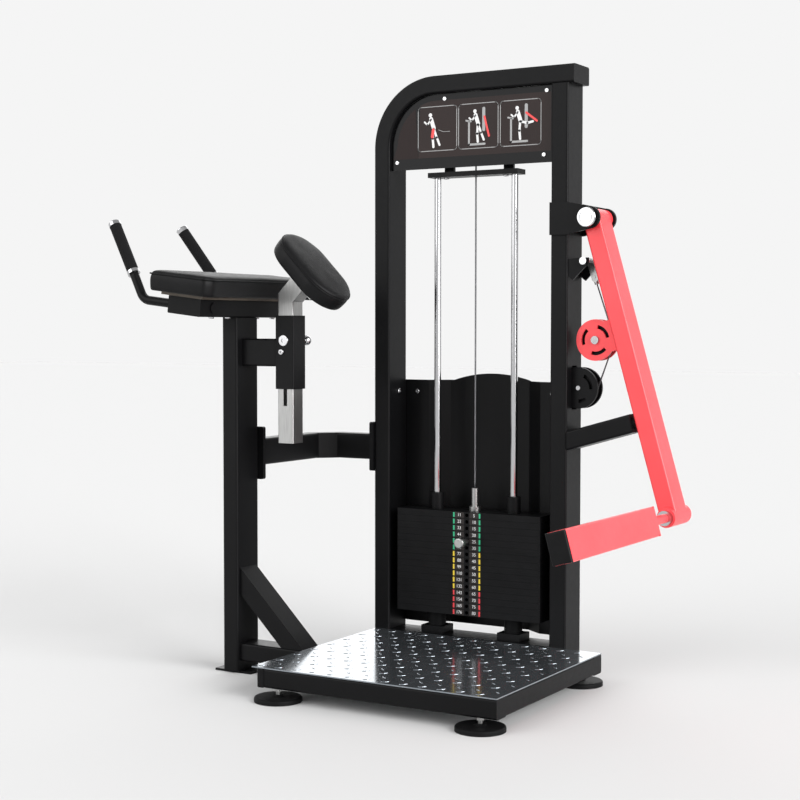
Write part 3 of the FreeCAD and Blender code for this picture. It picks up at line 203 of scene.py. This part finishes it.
def foam(name, colour):
    """Closed-cell grip foam: open pores with painted shade in them, and a soft sheen."""
    grip = Shader(name, colour, 0.85)
    pores = grip.cells(1500)
    # Pore centres are painted darker than the foam around them: painted shade in the pores.
    grip.vary_colour(pores, scaled(colour, 0.6), scaled(colour, 1.6), 0.1, 0.6)
    grip.bump(pores, 0.45, 0.0005)
    grip.bump(grip.noise(300, 4), 0.3, 0.0004)
    grip.set(Specular_IOR_Level=DULL, Sheen_Weight=0.04, Sheen_Roughness=0.5)
    return grip.material


def leather(name, colour):
    """Vinyl upholstery with a pebbled grain."""
    cover = Shader(name, colour, 0.46)
    grain = cover.cells(620, "DISTANCE_TO_EDGE")
    cover.vary_colour(cover.noise(18, 4), scaled(colour, 0.8), scaled(colour, 1.25))
    cover.vary_rough(cover.noise(120, 5), 0.38, 0.52)
    cover.bump(grain, 0.35, 0.0007)
    cover.bump(cover.noise(90, 4), 0.12, 0.0010)
    cover.set(Specular_IOR_Level=DULL * 1.3)
    return cover.material


def cast(name, colour):
    """Painted weight plates with a faint casting texture."""
    iron = Shader(name, colour, 0.42)
    iron.vary_colour(iron.noise(24, 6), scaled(colour, 0.8), scaled(colour, 1.35))
    iron.vary_rough(iron.noise(70, 5), 0.34, 0.52)
    iron.bump(iron.noise(420, 4), 0.22, 0.0005)
    iron.set(Specular_IOR_Level=DULL)
    return iron.material


def plywood(name, colour):
    """Pad board edge: thin plies in alternating tones."""
    wood = Shader(name, colour, 0.6)
    layers = wood.noise(300, 3, wood.stretch((0.1, 0.1, 4)))
    wood.vary_colour(layers, scaled(colour, 0.55), scaled(colour, 1.25))
    wood.bump(layers, 0.3, 0.0004)
    return wood.material


def tread_metal(name, colour):
    """Bright rolled plate, nearly a mirror, with fine scuffs."""
    metal = Shader(name, colour, 0.10, 0.88)
    metal.vary_colour(metal.noise(30, 6), scaled(colour, 0.9), scaled(colour, 1.1))
    metal.vary_rough(metal.noise(160, 8), 0.05, 0.20)
    metal.bump(metal.noise(70, 3), 0.03, 0.0006)
    return metal.material


def gloss(name, colour):
    """Printed acrylic panel under a clear gloss."""
    panel = Shader(name, colour, 0.16)
    panel.vary_colour(panel.noise(9, 3), scaled(colour, 0.92), scaled(colour, 1.08))
    panel.vary_rough(panel.noise(200, 5), 0.12, 0.22)
    panel.bump(panel.noise(60, 2), 0.03, 0.0005)
    panel.set(Specular_IOR_Level=0.13)
    return panel.material


def print_ink(name, colour):
    """Screen-printed ink with a faint grain."""
    ink = Shader(name, colour, 0.4)
    ink.vary_colour(ink.noise(800, 2), scaled(colour, 0.9), scaled(colour, 1.05))
    ink.bump(ink.noise(1600, 2), 0.1, 0.0001)
    return ink.material


BACKDROP = 0.913
OVERHEAD = 0.5
FLOOR = (0.693, 0.693, 0.693)
FLOOR_SIZE = 60
DULL = 0.11
BLACK = (0.0042, 0.0042, 0.0046)
RED = (0.86, 0.055, 0.065)
SLOTS = {
    "frame_black": powder_coat("frame_black", BLACK, 0.36, DULL),
    "arm_red": powder_coat("arm_red", RED, 0.33, 0.5),
    "chrome": polished("chrome", (0.52, 0.52, 0.53), 0.08),
    "steel": brushed("steel", (0.38, 0.38, 0.375), 0.30),
    "cable_steel": strand("cable_steel", (0.20, 0.20, 0.21)),
    "plate_black": cast("plate_black", BLACK),
    "rubber_black": moulded("rubber_black", BLACK, 0.55),
    "foam_grip": foam("foam_grip", BLACK),
    "pulley_plastic": moulded("pulley_plastic", BLACK, 0.42),
    "plastic_black": moulded("plastic_black", BLACK, 0.38),
    "pad_black": leather("pad_black", BLACK),
    "pad_board": plywood("pad_board", (0.10, 0.08, 0.06)),
    "tread_metal": tread_metal("tread_metal", (0.31, 0.34, 0.37)),
    "sign_gloss": gloss("sign_gloss", (0.020, 0.012, 0.011)),
}
SIGN_EDGE = gloss("sign_border", (0.004, 0.004, 0.0045))
SIGN_DARK = gloss("sign_dark", (0.012, 0.005, 0.0045))
WHITE_INK = print_ink("white_ink", (0.78, 0.78, 0.78))
GREY_INK = print_ink("grey_ink", (0.34, 0.34, 0.34))
RED_INK = print_ink("red_ink", (0.80, 0.05, 0.05))
BANDS = {"green": print_ink("green_ink", (0.02, 0.42, 0.20)),
         "yellow": print_ink("yellow_ink", (0.80, 0.58, 0.03)),
         "red": print_ink("stop_ink", (0.72, 0.04, 0.05))}
STICKER = moulded("sticker", (0.030, 0.026, 0.025), 0.4)


def dress_cad():
    """Give each carried-over CAD node the material of its slot."""
    for entry in frame["record"]["subparts"]:
        node = NODES[entry["node"]]
        material = SLOTS[entry["material_slot"]]
        if not node.material_slots:
            node.data.materials.append(material)
        for place in node.material_slots:
            place.material = material


# ---------------------------------------------------------------- mesh helpers
def piece(name, points, faces, slot, body, smooth=True, material=None):
    """A new mesh object in the row frame that rides on a body."""
    mesh = bpy.data.meshes.new(name)
    mesh.from_pydata([tuple(p) for p in points], [], faces)
    mesh.update()
    if smooth:
        mesh.shade_smooth()
    item = bpy.data.objects.new(name, mesh)
    bpy.context.scene.collection.objects.link(item)
    mesh.materials.append(material or SLOTS[slot])
    if body:
        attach(item, body)
    return item


def tube(points, radius, sides=14, facing=None):
    """Points and faces of a round tube along a path, closed at both ends.

    facing maps a point's index to the way its ring faces, where that isn't the path's.
    """
    facing = facing or {}
    rings = []
    side = Vector((0, 1, 0))
    for index, here in enumerate(points):
        before = points[max(index - 1, 0)]
        after = points[min(index + 1, len(points) - 1)]
        along = facing.get(index, (after - before).normalized())
        across = (side - along * side.dot(along)).normalized()
        other = along.cross(across)
        rings.append([here + (across * math.cos(a) + other * math.sin(a)) * radius
                      for a in (2 * math.pi * k / sides for k in range(sides))])
    return loft(rings)


def loft(rings):
    """Join equal rings of points in a row and close both ends."""
    count = len(rings[0])
    points = [p for ring in rings for p in ring]
    faces = []
    for row in range(len(rings) - 1):
        for k in range(count):
            a = row * count + k
            b = row * count + (k + 1) % count
            faces.append((a, b, b + count, a + count))
    faces.append(tuple(reversed(range(count))))
    last = (len(rings) - 1) * count
    faces.append(tuple(range(last, last + count)))
    return points, faces


def join_parts(parts):
    """Merge several (points, faces) pairs into one."""
    points, faces = [], []
    for more_points, more_faces in parts:
        base = len(points)
        points += list(more_points)
        faces += [tuple(index + base for index in face) for face in more_faces]
    return points, faces


def fix_normals(item):
    """Turn every face outwards."""
    mesh = bmesh.new()
    mesh.from_mesh(item.data)
    bmesh.ops.recalc_face_normals(mesh, faces=mesh.faces)
    mesh.to_mesh(item.data)
    mesh.free()


# ---------------------------------------------------------------- pads
CHEST_TILT, CHEST_THICK = 45.8, 0.0535
ELBOW_TILT, ELBOW_THICK, ELBOW_HALF_X = 6.6, 0.058, 0.098
ELBOW_BASE_X, ELBOW_BASE_Z = -0.419, 1.0495
BEAD, BEAD_SIDES, BEAD_INSET = 0.0021, 8, 0.0012
SEAM_DEPTH = 0.0118


def stadium(straight, radius, count=112):
    """Outline of a pad with two round ends, along its length and width."""
    points = []
    for k in range(count):
        angle = 2 * math.pi * k / count
        x = radius * math.cos(angle)
        y = radius * math.sin(angle)
        points.append((x + math.copysign(straight, math.cos(angle)), y))
    return points


def bay_outline(half_x, half_y):
    """Elbow pad outline: cropped corners and a shallow bay along the chest side."""
    corner, bay, shoulder = 0.012, 0.020, 0.025
    points = []
    steps, end_steps = 30, 14
    for k in range(steps + 1):
        y = -half_y + shoulder + (2 * half_y - 2 * shoulder) * k / steps
        curve = 1 - (y / (half_y - shoulder)) ** 2
        points.append((half_x - bay * curve, y))
    points += [(half_x - corner * (1 - t), half_y - shoulder * (1 - t)) for t in (0.5, 1.0)]
    end = [(2 * half_x - corner) * k / end_steps for k in range(1, end_steps + 1)]
    points += [(half_x - corner - x, half_y) for x in end]
    points += [(-half_x, half_y - 2 * half_y * k / steps) for k in range(1, steps + 1)]
    points += [(-half_x + x, -half_y) for x in end]
    points.append((half_x - corner / 2, -half_y + shoulder / 2))
    return points


def cushion(name, node, body, outline, half, thick, place):
    """A stuffed pad: flat back, sides that swell, a sewn seam and a crowned face.

    Each step of profile is an inset from the outline and a height above the back. It gives
    back the path of the seam, for its piping.
    """
    seam = thick - SEAM_DEPTH
    profile = [(0.016, 0.0), (0.004, 0.0006), (0.0012, 0.004), (0.0, thick * 0.35),
               (-0.0008, thick * 0.55), (0.0004, thick - 0.0155), (0.0020, thick - 0.0130),
               (0.0030, seam), (0.0020, thick - 0.0106), (0.0022, thick - 0.0080),
               (0.0050, thick - 0.0045), (0.0110, thick - 0.0018), (0.0220, thick - 0.0004),
               (0.0360, thick + 0.0004), (0.0520, thick + 0.0008), (0.0680, thick + 0.0010)]
    half_x, half_y = half
    rings = []
    for inset, level in profile:
        inset = min(inset, 0.92 * min(half_x, half_y))
        ring = []
        for x, y in outline:
            px = x * (half_x - inset) / half_x
            py = y * (half_y - inset) / half_y
            ripple = noise.noise(Vector((px * 26, py * 26, level * 40 + half_x))) * 0.0009
            lift = ripple if level > thick * 0.3 else 0
            ring.append(place @ Vector((px, py, level + lift)))
        rings.append(ring)
    pad = piece(name, *loft(rings), "pad_black", None)
    fix_normals(pad)
    smooth_pad(pad)
    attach(pad, body)
    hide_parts(node)
    return [place @ Vector((x * (half_x - BEAD_INSET) / half_x, y * (half_y - BEAD_INSET) / half_y,
                            seam))
            for x, y in outline]


def smooth_pad(pad):
    """Round the pad off with one level of subdivision."""
    extra = pad.modifiers.new("soften", "SUBSURF")
    extra.levels = extra.render_levels = 1


def piping(name, bead, body):
    """The sewn bead that runs round a pad below its face."""
    count = len(bead)
    centre = sum(bead, Vector()) / count
    rings = []
    for index, here in enumerate(bead):
        along = (bead[(index + 1) % count] - bead[index - 1]).normalized()
        out = here - centre
        out = (out - along * out.dot(along)).normalized()
        up = along.cross(out)
        rings.append([here + (out * math.cos(a) + up * math.sin(a)) * BEAD
                      for a in (2 * math.pi * k / BEAD_SIDES for k in range(BEAD_SIDES))])
    points = [p for ring in rings for p in ring]
    faces = []
    for row in range(count):
        for k in range(BEAD_SIDES):
            beside = (k + 1) % BEAD_SIDES
            here, after = row * BEAD_SIDES, ((row + 1) % count) * BEAD_SIDES
            faces.append((here + k, here + beside, after + beside, after + k))
    item = piece(name, points, faces, "pad_black", body)
    fix_normals(item)


def chest_pad():
    """The round-ended pad on the height post. Its face looks up and to the right."""
    low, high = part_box("chest_pad")
    centre = (low + high) / 2
    tilt = math.radians(CHEST_TILT)
    place = Matrix.Translation(centre) @ Euler((0, tilt, 0)).to_matrix().to_4x4()
    place = place @ Matrix.Translation((0, 0, -CHEST_THICK / 2))
    radius = (high.y - low.y) / 2
    straight = 0.0413
    half = (straight + radius, radius)
    bead = cushion("chest_cushion", "chest_pad", "chest_support", stadium(straight, radius), half,
                   CHEST_THICK, place)
    piping("chest_piping", bead, "chest_support")


def elbow_pad():
    """The flat pad over the stand's column."""
    tilt = math.radians(ELBOW_TILT)
    low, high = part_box("elbow_pad")
    half_x, half_y = ELBOW_HALF_X, (high.y - low.y) / 2
    base = Vector((ELBOW_BASE_X, (low.y + high.y) / 2, ELBOW_BASE_Z))
    place = Matrix.Translation(base) @ Euler((0, tilt, 0)).to_matrix().to_4x4()
    bead = cushion("elbow_cushion", "elbow_pad", "frame", bay_outline(half_x, half_y),
                   (half_x, half_y), ELBOW_THICK, place)
    piping("elbow_piping", bead, "frame")


# ---------------------------------------------------------------- tread plate
def tread_plate():
    """Rolled floor plate with rows of lens-shaped lugs, turned in alternate directions."""
    low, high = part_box("tread_plate")
    top = high.z
    parts = []
    sheet = [(x, y, z) for z in (low.z, top) for x, y in ((low.x, low.y), (high.x, low.y),
                                                         (high.x, high.y), (low.x, high.y))]
    faces = [(3, 2, 1, 0), (4, 5, 6, 7), (0, 1, 5, 4), (1, 2, 6, 5), (2, 3, 7, 6), (3, 0, 4, 7)]
    parts.append((sheet, faces))
    across, row_pitch, margin = 0.053, 0.0405, 0.020
    rows = int((high.y - low.y - 2 * margin) / row_pitch) + 1
    for row in range(rows):
        slant = -math.pi / 4 if row % 2 else math.pi / 4
        x = low.x + margin + (across / 2 if row % 2 else 0)
        while x < high.x - margin / 2:
            parts.append(lug(Vector((x, low.y + margin + row * row_pitch, top)), slant))
            x += across
    plate = piece("tread_sheet", *join_parts(parts), "tread_metal", "frame", smooth=False)
    fix_normals(plate)
    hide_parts("tread_plate")


def lug(centre, turn):
    """One raised lug: a pointed lens with sloping sides and a flat top."""
    half_long, half_wide, high = 0.0118, 0.0036, 0.0011
    outline = []
    for k in range(12):
        angle = 2 * math.pi * k / 12
        along = math.cos(angle)
        outline.append((half_long * along, half_wide * math.sin(angle) * (1 - 0.35 * abs(along))))
    rings = []
    for share, level in ((1.0, -0.0002), (0.93, 0.0006), (0.72, high)):
        rings.append([centre + Vector((share * (x * math.cos(turn) - y * math.sin(turn)),
                                       share * (x * math.sin(turn) + y * math.cos(turn)), level))
                      for x, y in outline])
    return loft(rings)


# ---------------------------------------------------------------- sign
def flat_shape(outline, y, thick=0.0004):
    """A thin plate in the XZ plane: front at y."""
    count = len(outline)
    points = [Vector((x, y, z)) for x, z in outline] + [Vector((x, y + thick, z)) for x, z in outline]
    faces = [tuple(range(count)), tuple(reversed(range(count, 2 * count)))]
    faces += [(k, (k + 1) % count, count + (k + 1) % count, count + k) for k in range(count)]
    return points, faces


def stroke(path, width, y):
    """A printed line with round ends through a few (x, z) points."""
    parts = []
    half = width / 2
    for (x1, z1), (x2, z2) in zip(path, path[1:]):
        angle = math.atan2(z2 - z1, x2 - x1)
        outline = []
        for k in range(9):
            a = angle + math.pi / 2 + math.pi * k / 8
            outline.append((x1 + half * math.cos(a), z1 + half * math.sin(a)))
        for k in range(9):
            a = angle - math.pi / 2 + math.pi * k / 8
            outline.append((x2 + half * math.cos(a), z2 + half * math.sin(a)))
        parts.append(flat_shape(outline, y))
    return parts


def disc(x, z, radius, y):
    """A printed dot."""
    return flat_shape([(x + radius * math.cos(2 * math.pi * k / 24),
                        z + radius * math.sin(2 * math.pi * k / 24)) for k in range(24)], y)


def rounded_frame(x0, x1, z0, z1, radius, width, y):
    """An outline box with round corners."""
    path = []
    corners = ((x1 - radius, z1 - radius, 0), (x0 + radius, z1 - radius, 90),
               (x0 + radius, z0 + radius, 180), (x1 - radius, z0 + radius, 270))
    for cx, cz, start in corners:
        for k in range(7):
            a = math.radians(start + 15 * k)
            path.append((cx + radius * math.cos(a), cz + radius * math.sin(a)))
    path.append(path[0])
    return stroke(path, width, y)


def figure(x, z, size, y, bent):
    """A plain pictogram body: head, trunk, arms and legs as round-ended bars."""
    def at(u, v):
        return (x + u * size, z + v * size)
    parts = [disc(*at(-0.12, 0.78), 0.10 * size, y)]
    parts += stroke([at(-0.08, 0.58), at(0.08, 0.10)], 0.22 * size, y)
    parts += stroke([at(-0.08, 0.56), at(-0.30, 0.30), at(-0.46, 0.44)], 0.09 * size, y)
    parts += stroke([at(0.06, 0.06), at(0.02, -0.42), at(0.06, -0.85)], 0.13 * size, y)
    foot = [at(0.10, 0.06), at(0.48, -0.04), at(0.80, 0.02)] if bent else \
        [at(0.08, 0.06), at(0.26, -0.38), at(0.42, -0.76)]
    parts += stroke(foot, 0.12 * size, y)
    return parts


def machine_mark(x, z, size, y):
    """A plain pictogram of the stand and tower beside a figure."""
    def at(u, v):
        return (x + u * size, z + v * size)
    parts = stroke([at(-0.66, 0.28), at(-0.40, 0.22)], 0.08 * size, y)
    parts += stroke([at(-0.50, 0.20), at(-0.50, -0.88)], 0.10 * size, y)
    parts += stroke([at(-0.50, -0.88), at(0.35, -0.88)], 0.10 * size, y)
    parts += stroke([at(0.30, 0.80), at(0.30, -0.20)], 0.16 * size, y)
    return parts


def sign():
    """The printed face of the sign: a dark left end, three boxes and their pictures."""
    low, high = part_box("sign_panel")
    front = low.y
    area_low, area_high = low.z + 0.031, high.z - 0.018
    left, right = low.x + 0.004, high.x - 0.006
    split = low.x + 0.088
    bend = 0.126
    centre = (low.x + bend + 0.019, area_high - bend)
    curve = [(centre[0] - bend * math.sin(a), centre[1] + bend * math.cos(a))
             for a in (math.radians(8 * k) for k in range(12))]
    clipped = [(max(x, left), z) for x, z in curve if x < split]
    dark = flat_shape([(left, area_low), (split, area_low)] + clipped, front - 0.0004)
    main = [(split, area_low), (right, area_low), (right, area_high)]
    main += [(x, z) for x, z in curve if x >= split]
    face = flat_shape(main, front - 0.0004)
    printed = piece("sign_print", *face, "sign_gloss", "frame", False)
    fix_normals(printed)
    shade = piece("sign_print_dark", *dark, "sign_gloss", "frame", False, SIGN_DARK)
    fix_normals(shade)
    NODES["sign_panel"].material_slots[0].material = SIGN_EDGE
    y = front - 0.0009
    boxes = ((-0.043, 0.0815), (0.0875, 0.2115), (0.2185, 0.3425))
    lines, white, grey, red = [], [], [], []
    for number, (x0, x1) in enumerate(boxes):
        z0, z1 = low.z + 0.050, low.z + 0.174
        lines += rounded_frame(x0, x1, z0, z1, 0.009, 0.0020, y)
        middle = (x0 + x1) / 2
        level = (z0 + z1) / 2
        if number == 0:
            white += figure(middle - 0.016, level - 0.004, 0.055, y, False)
            red += stroke([(middle - 0.013, level - 0.003), (middle - 0.016, level - 0.022)], 0.009,
                          y - 0.0004)
            grey += stroke([(middle + 0.004, level - 0.004), (middle + 0.020, level - 0.010),
                            (middle + 0.040, level - 0.010)], 0.0012, y)
        else:
            grey += machine_mark(middle, level, 0.058, y)
            white += figure(middle - 0.004, level, 0.052, y - 0.0004, number == 2)
            if number == 2:
                arm = [(middle + 0.018, level + 0.026), (middle + 0.050, level + 0.002)]
            else:
                arm = [(middle + 0.020, level + 0.024), (middle + 0.034, level - 0.030)]
            red += stroke(arm, 0.006, y - 0.0008)
    for name, parts, ink in (("sign_lines", lines, GREY_INK), ("sign_white", white, WHITE_INK),
                             ("sign_grey", grey, GREY_INK), ("sign_red", red, RED_INK)):
        mark = piece(name, *join_parts(parts), "sign_gloss", "frame", False, ink)
        fix_normals(mark)


# ---------------------------------------------------------------- stack labels
def number_mesh(text, size, centre):
    """Digits facing the user, as a mesh."""
    curve = bpy.data.curves.new("digits", "FONT")
    curve.body = text
    curve.size = size
    curve.extrude = 0.0001
    curve.align_x = "CENTER"
    curve.align_y = "CENTER"
    holder = bpy.data.objects.new("digits", curve)
    bpy.context.scene.collection.objects.link(holder)
    bpy.context.view_layer.update()
    mesh = bpy.data.meshes.new_from_object(holder.evaluated_get(bpy.context.evaluated_depsgraph_get()))
    points = [Vector((v.co.x + centre.x, centre.y - v.co.z, v.co.y + centre.z)) for v in mesh.vertices]
    faces = [tuple(face.vertices) for face in mesh.polygons]
    bpy.data.objects.remove(holder)
    return points, faces


def labels():
    """Two stickers per plate, left and right of the pin holes.

    Each is a dark ground with a coloured tick at its outer end and a number.
    """
    low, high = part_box("lower_plates")
    head_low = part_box("head_plate")[0]
    middle = (low.x + high.x) / 2
    front = low.y
    thick, pitch, total, lifted = 0.018, 0.0184, 16, 5
    inset, pounds_step, kilos_step = 0.0012, 11, 5
    ground_in, ground_out, tick_out, digits_high = 0.0085, 0.0385, 0.0435, 0.0125
    groups = {"frame": {}, "lifted_stack": {}}
    for row in range(total):
        body = "lifted_stack" if row < lifted else "frame"
        z = head_low.z - row * pitch
        band = "green" if row < 6 else "yellow" if row < 12 else "red"
        store = groups[body]
        for side in (-1, 1):
            inner, outer = middle + side * ground_in, middle + side * ground_out
            tick = middle + side * tick_out
            x0, x1 = sorted((inner, outer))
            t0, t1 = sorted((outer, tick))
            ground = [(x0, z + inset), (x1, z + inset), (x1, z + thick - inset),
                      (x0, z + thick - inset)]
            mark = [(t0, z + inset + 0.001), (t1, z + inset + 0.001),
                    (t1, z + thick - inset - 0.001), (t0, z + thick - inset - 0.001)]
            store.setdefault("ground", []).append(flat_shape(ground, front - 0.0004))
            store.setdefault(band, []).append(flat_shape(mark, front - 0.0005))
            number = str((row + 1) * (pounds_step if side < 0 else kilos_step))
            spot = Vector(((x0 + x1) / 2, front - 0.0006, z + thick / 2))
            store.setdefault("digits", []).append(number_mesh(number, digits_high, spot))
    inks = {"ground": STICKER, "digits": WHITE_INK, **BANDS}
    for body, store in groups.items():
        for kind, parts in store.items():
            mark = piece("label_%s_%s" % (kind, body), *join_parts(parts), "plate_black", body, False,
                         inks[kind])
            fix_normals(mark)


# ---------------------------------------------------------------- cable
PITCH, ROPE = 0.0461, 0.0024
ANCHOR_END_X, ANCHOR_END_LIFT = 0.4953, 0.0022
# Two rings don't face along the run at rest. Each faces about halfway between the run's way
# with the arm at rest and its way with the arm at its top, as the body that it rides on sees
# them, so that the cable thins equally little at both.
ANCHOR_RING_WAY = Vector((0.899, 0, -0.438))
WHEEL_RING_WAY = Vector((-0.908, 0, -0.419))


def centre_of(node):
    """The middle of a CAD node's box."""
    low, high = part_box(node)
    return (low + high) / 2


def arc(centre, start, end, steps=14):
    """Points on a wheel's groove from one angle to another, in the XZ plane."""
    return [centre + Vector((math.cos(a), 0, math.sin(a))) * PITCH
            for a in (start + (end - start) * k / steps for k in range(steps + 1))]


def straight(start, end, step=0.006):
    """Evenly spaced points from start up to, but without, end."""
    count = max(int((end - start).length / step), 2)
    return [start.lerp(end, k / count) for k in range(count)]


def cable():
    """Two runs that follow the arm, one fixed run round the low and top wheels, and the drop."""
    arm, low = centre_of("arm_pulley"), centre_of("low_pulley")
    right, left = centre_of("top_pulley_right"), centre_of("top_pulley_left")
    start = Vector((ANCHOR_END_X, arm.y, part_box("cable_anchor")[0].z + ANCHOR_END_LIFT))
    offset = start - arm
    away = offset.length
    touch = math.atan2(offset.z, offset.x) - math.acos(PITCH / away)
    line = low - arm
    leave = math.atan2(line.z, line.x) + math.pi / 2
    touch_out = arm + Vector((math.cos(leave), 0, math.sin(leave))) * PITCH
    touch_low = low + (touch_out - arm)
    run = [start] + arc(arm, touch, leave, 4) + [touch_low]
    upper = [p for p in run if p.z >= arm.z]
    lower = [p for p in run if p.z <= arm.z]
    meet = upper[-1]
    at_anchor = {0: ANCHOR_RING_WAY}
    at_wheel = {len(lower) - 1: WHEEL_RING_WAY}
    first = piece("cable_anchor_run", *tube(upper, ROPE, facing=at_anchor), "cable_steel", None)
    second = piece("cable_wheel_run", *tube([meet] + lower, ROPE, facing=at_wheel), "cable_steel",
                   None)
    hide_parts("cable_arm_run")
    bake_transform(first)
    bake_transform(second)
    around = arc(low, leave, -math.pi, 40)
    climb = straight(around[-1], Vector((right.x + PITCH, right.y, right.z)), 0.05)
    over = arc(right, 0, math.pi / 2)
    across = straight(over[-1], left + Vector((0, 0, PITCH)), 0.03)
    down = arc(left, math.pi / 2, math.pi)
    fixed = piece("cable_tower_run", *tube(around + climb[1:] + over + across[1:] + down, ROPE),
                  "cable_steel", "frame")
    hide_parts("cable_frame_run")
    drop_low, drop_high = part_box("cable_drop")
    spot = (drop_low + drop_high) / 2
    hung = Vector((spot.x, spot.y, drop_high.z))
    foot = Vector((spot.x, spot.y, drop_low.z - 0.001))
    drop = piece("cable_stack_run", *tube(straight(hung, foot, 0.02) + [foot], ROPE),
                 "cable_steel", "frame")
    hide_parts("cable_drop")
    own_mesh(drop)


# ---------------------------------------------------------------- stage, light and camera
def stage():
    """A pale floor that meets a world of the same tone, dimmer overhead."""
    floor_paint = Shader("pale_floor", FLOOR, 0.9)
    floor_paint.vary_rough(floor_paint.noise(3, 3), 0.85, 0.95)
    floor_paint.set(Specular_IOR_Level=0.0)
    bpy.ops.mesh.primitive_grid_add(size=FLOOR_SIZE, location=(0, 0, 0))
    floor = bpy.context.object
    floor.name = "floor"
    floor.data.materials.append(floor_paint.material)
    bpy.context.scene.view_settings.view_transform = "Standard"
    world = bpy.data.worlds.new("studio")
    bpy.context.scene.world = world
    world.use_nodes = True
    tree = world.node_tree
    place = tree.nodes.new("ShaderNodeTexCoord")
    split = tree.nodes.new("ShaderNodeSeparateXYZ")
    ramp = tree.nodes.new("ShaderNodeValToRGB")
    near, far = ramp.color_ramp.elements
    near.position, near.color = 0.25, (BACKDROP, BACKDROP, BACKDROP, 1)
    far.position, far.color = 0.75, (OVERHEAD, OVERHEAD, OVERHEAD, 1)
    tree.links.new(place.outputs["Generated"], split.inputs["Vector"])
    tree.links.new(split.outputs["Z"], ramp.inputs["Fac"])
    tree.links.new(ramp.outputs["Color"], tree.nodes["Background"].inputs["Color"])


def soft_sun(name, place, strength, spread):
    """A broad far light that shines from place towards the machine."""
    light = bpy.data.lights.new(name, "SUN")
    light.energy = strength
    light.angle = math.radians(spread)
    item = bpy.data.objects.new(name, light)
    item.location = place
    item.rotation_euler = (-Vector(place)).to_track_quat("-Z", "Y").to_euler()
    bpy.context.scene.collection.objects.link(item)


def lights():
    """Front left, right and rear light."""
    soft_sun("key", (-2.4, -3.6, 2.0), 1.2, 50)
    soft_sun("side", (4.2, -0.8, 1.4), 4.0, 45)
    soft_sun("rear", (-2.0, 3.8, 2.2), 1.0, 60)


def camera():
    """A long lens at the front right, aimed a little down."""
    lens = bpy.data.cameras.new("camera")
    lens.sensor_width = 36
    lens.lens = 71.46
    item = bpy.data.objects.new("camera", lens)
    item.location = (2.2314, -3.6587, 0.960)
    down, roll, right = 2.59, -0.05, 30.67
    item.rotation_euler = (math.radians(90 - down), math.radians(roll), math.radians(right))
    bpy.context.scene.collection.objects.link(item)
    bpy.context.scene.camera = item


camera()
dress_cad()
chest_pad()
elbow_pad()
tread_plate()
sign()
labels()
cable()
stage()
lights()
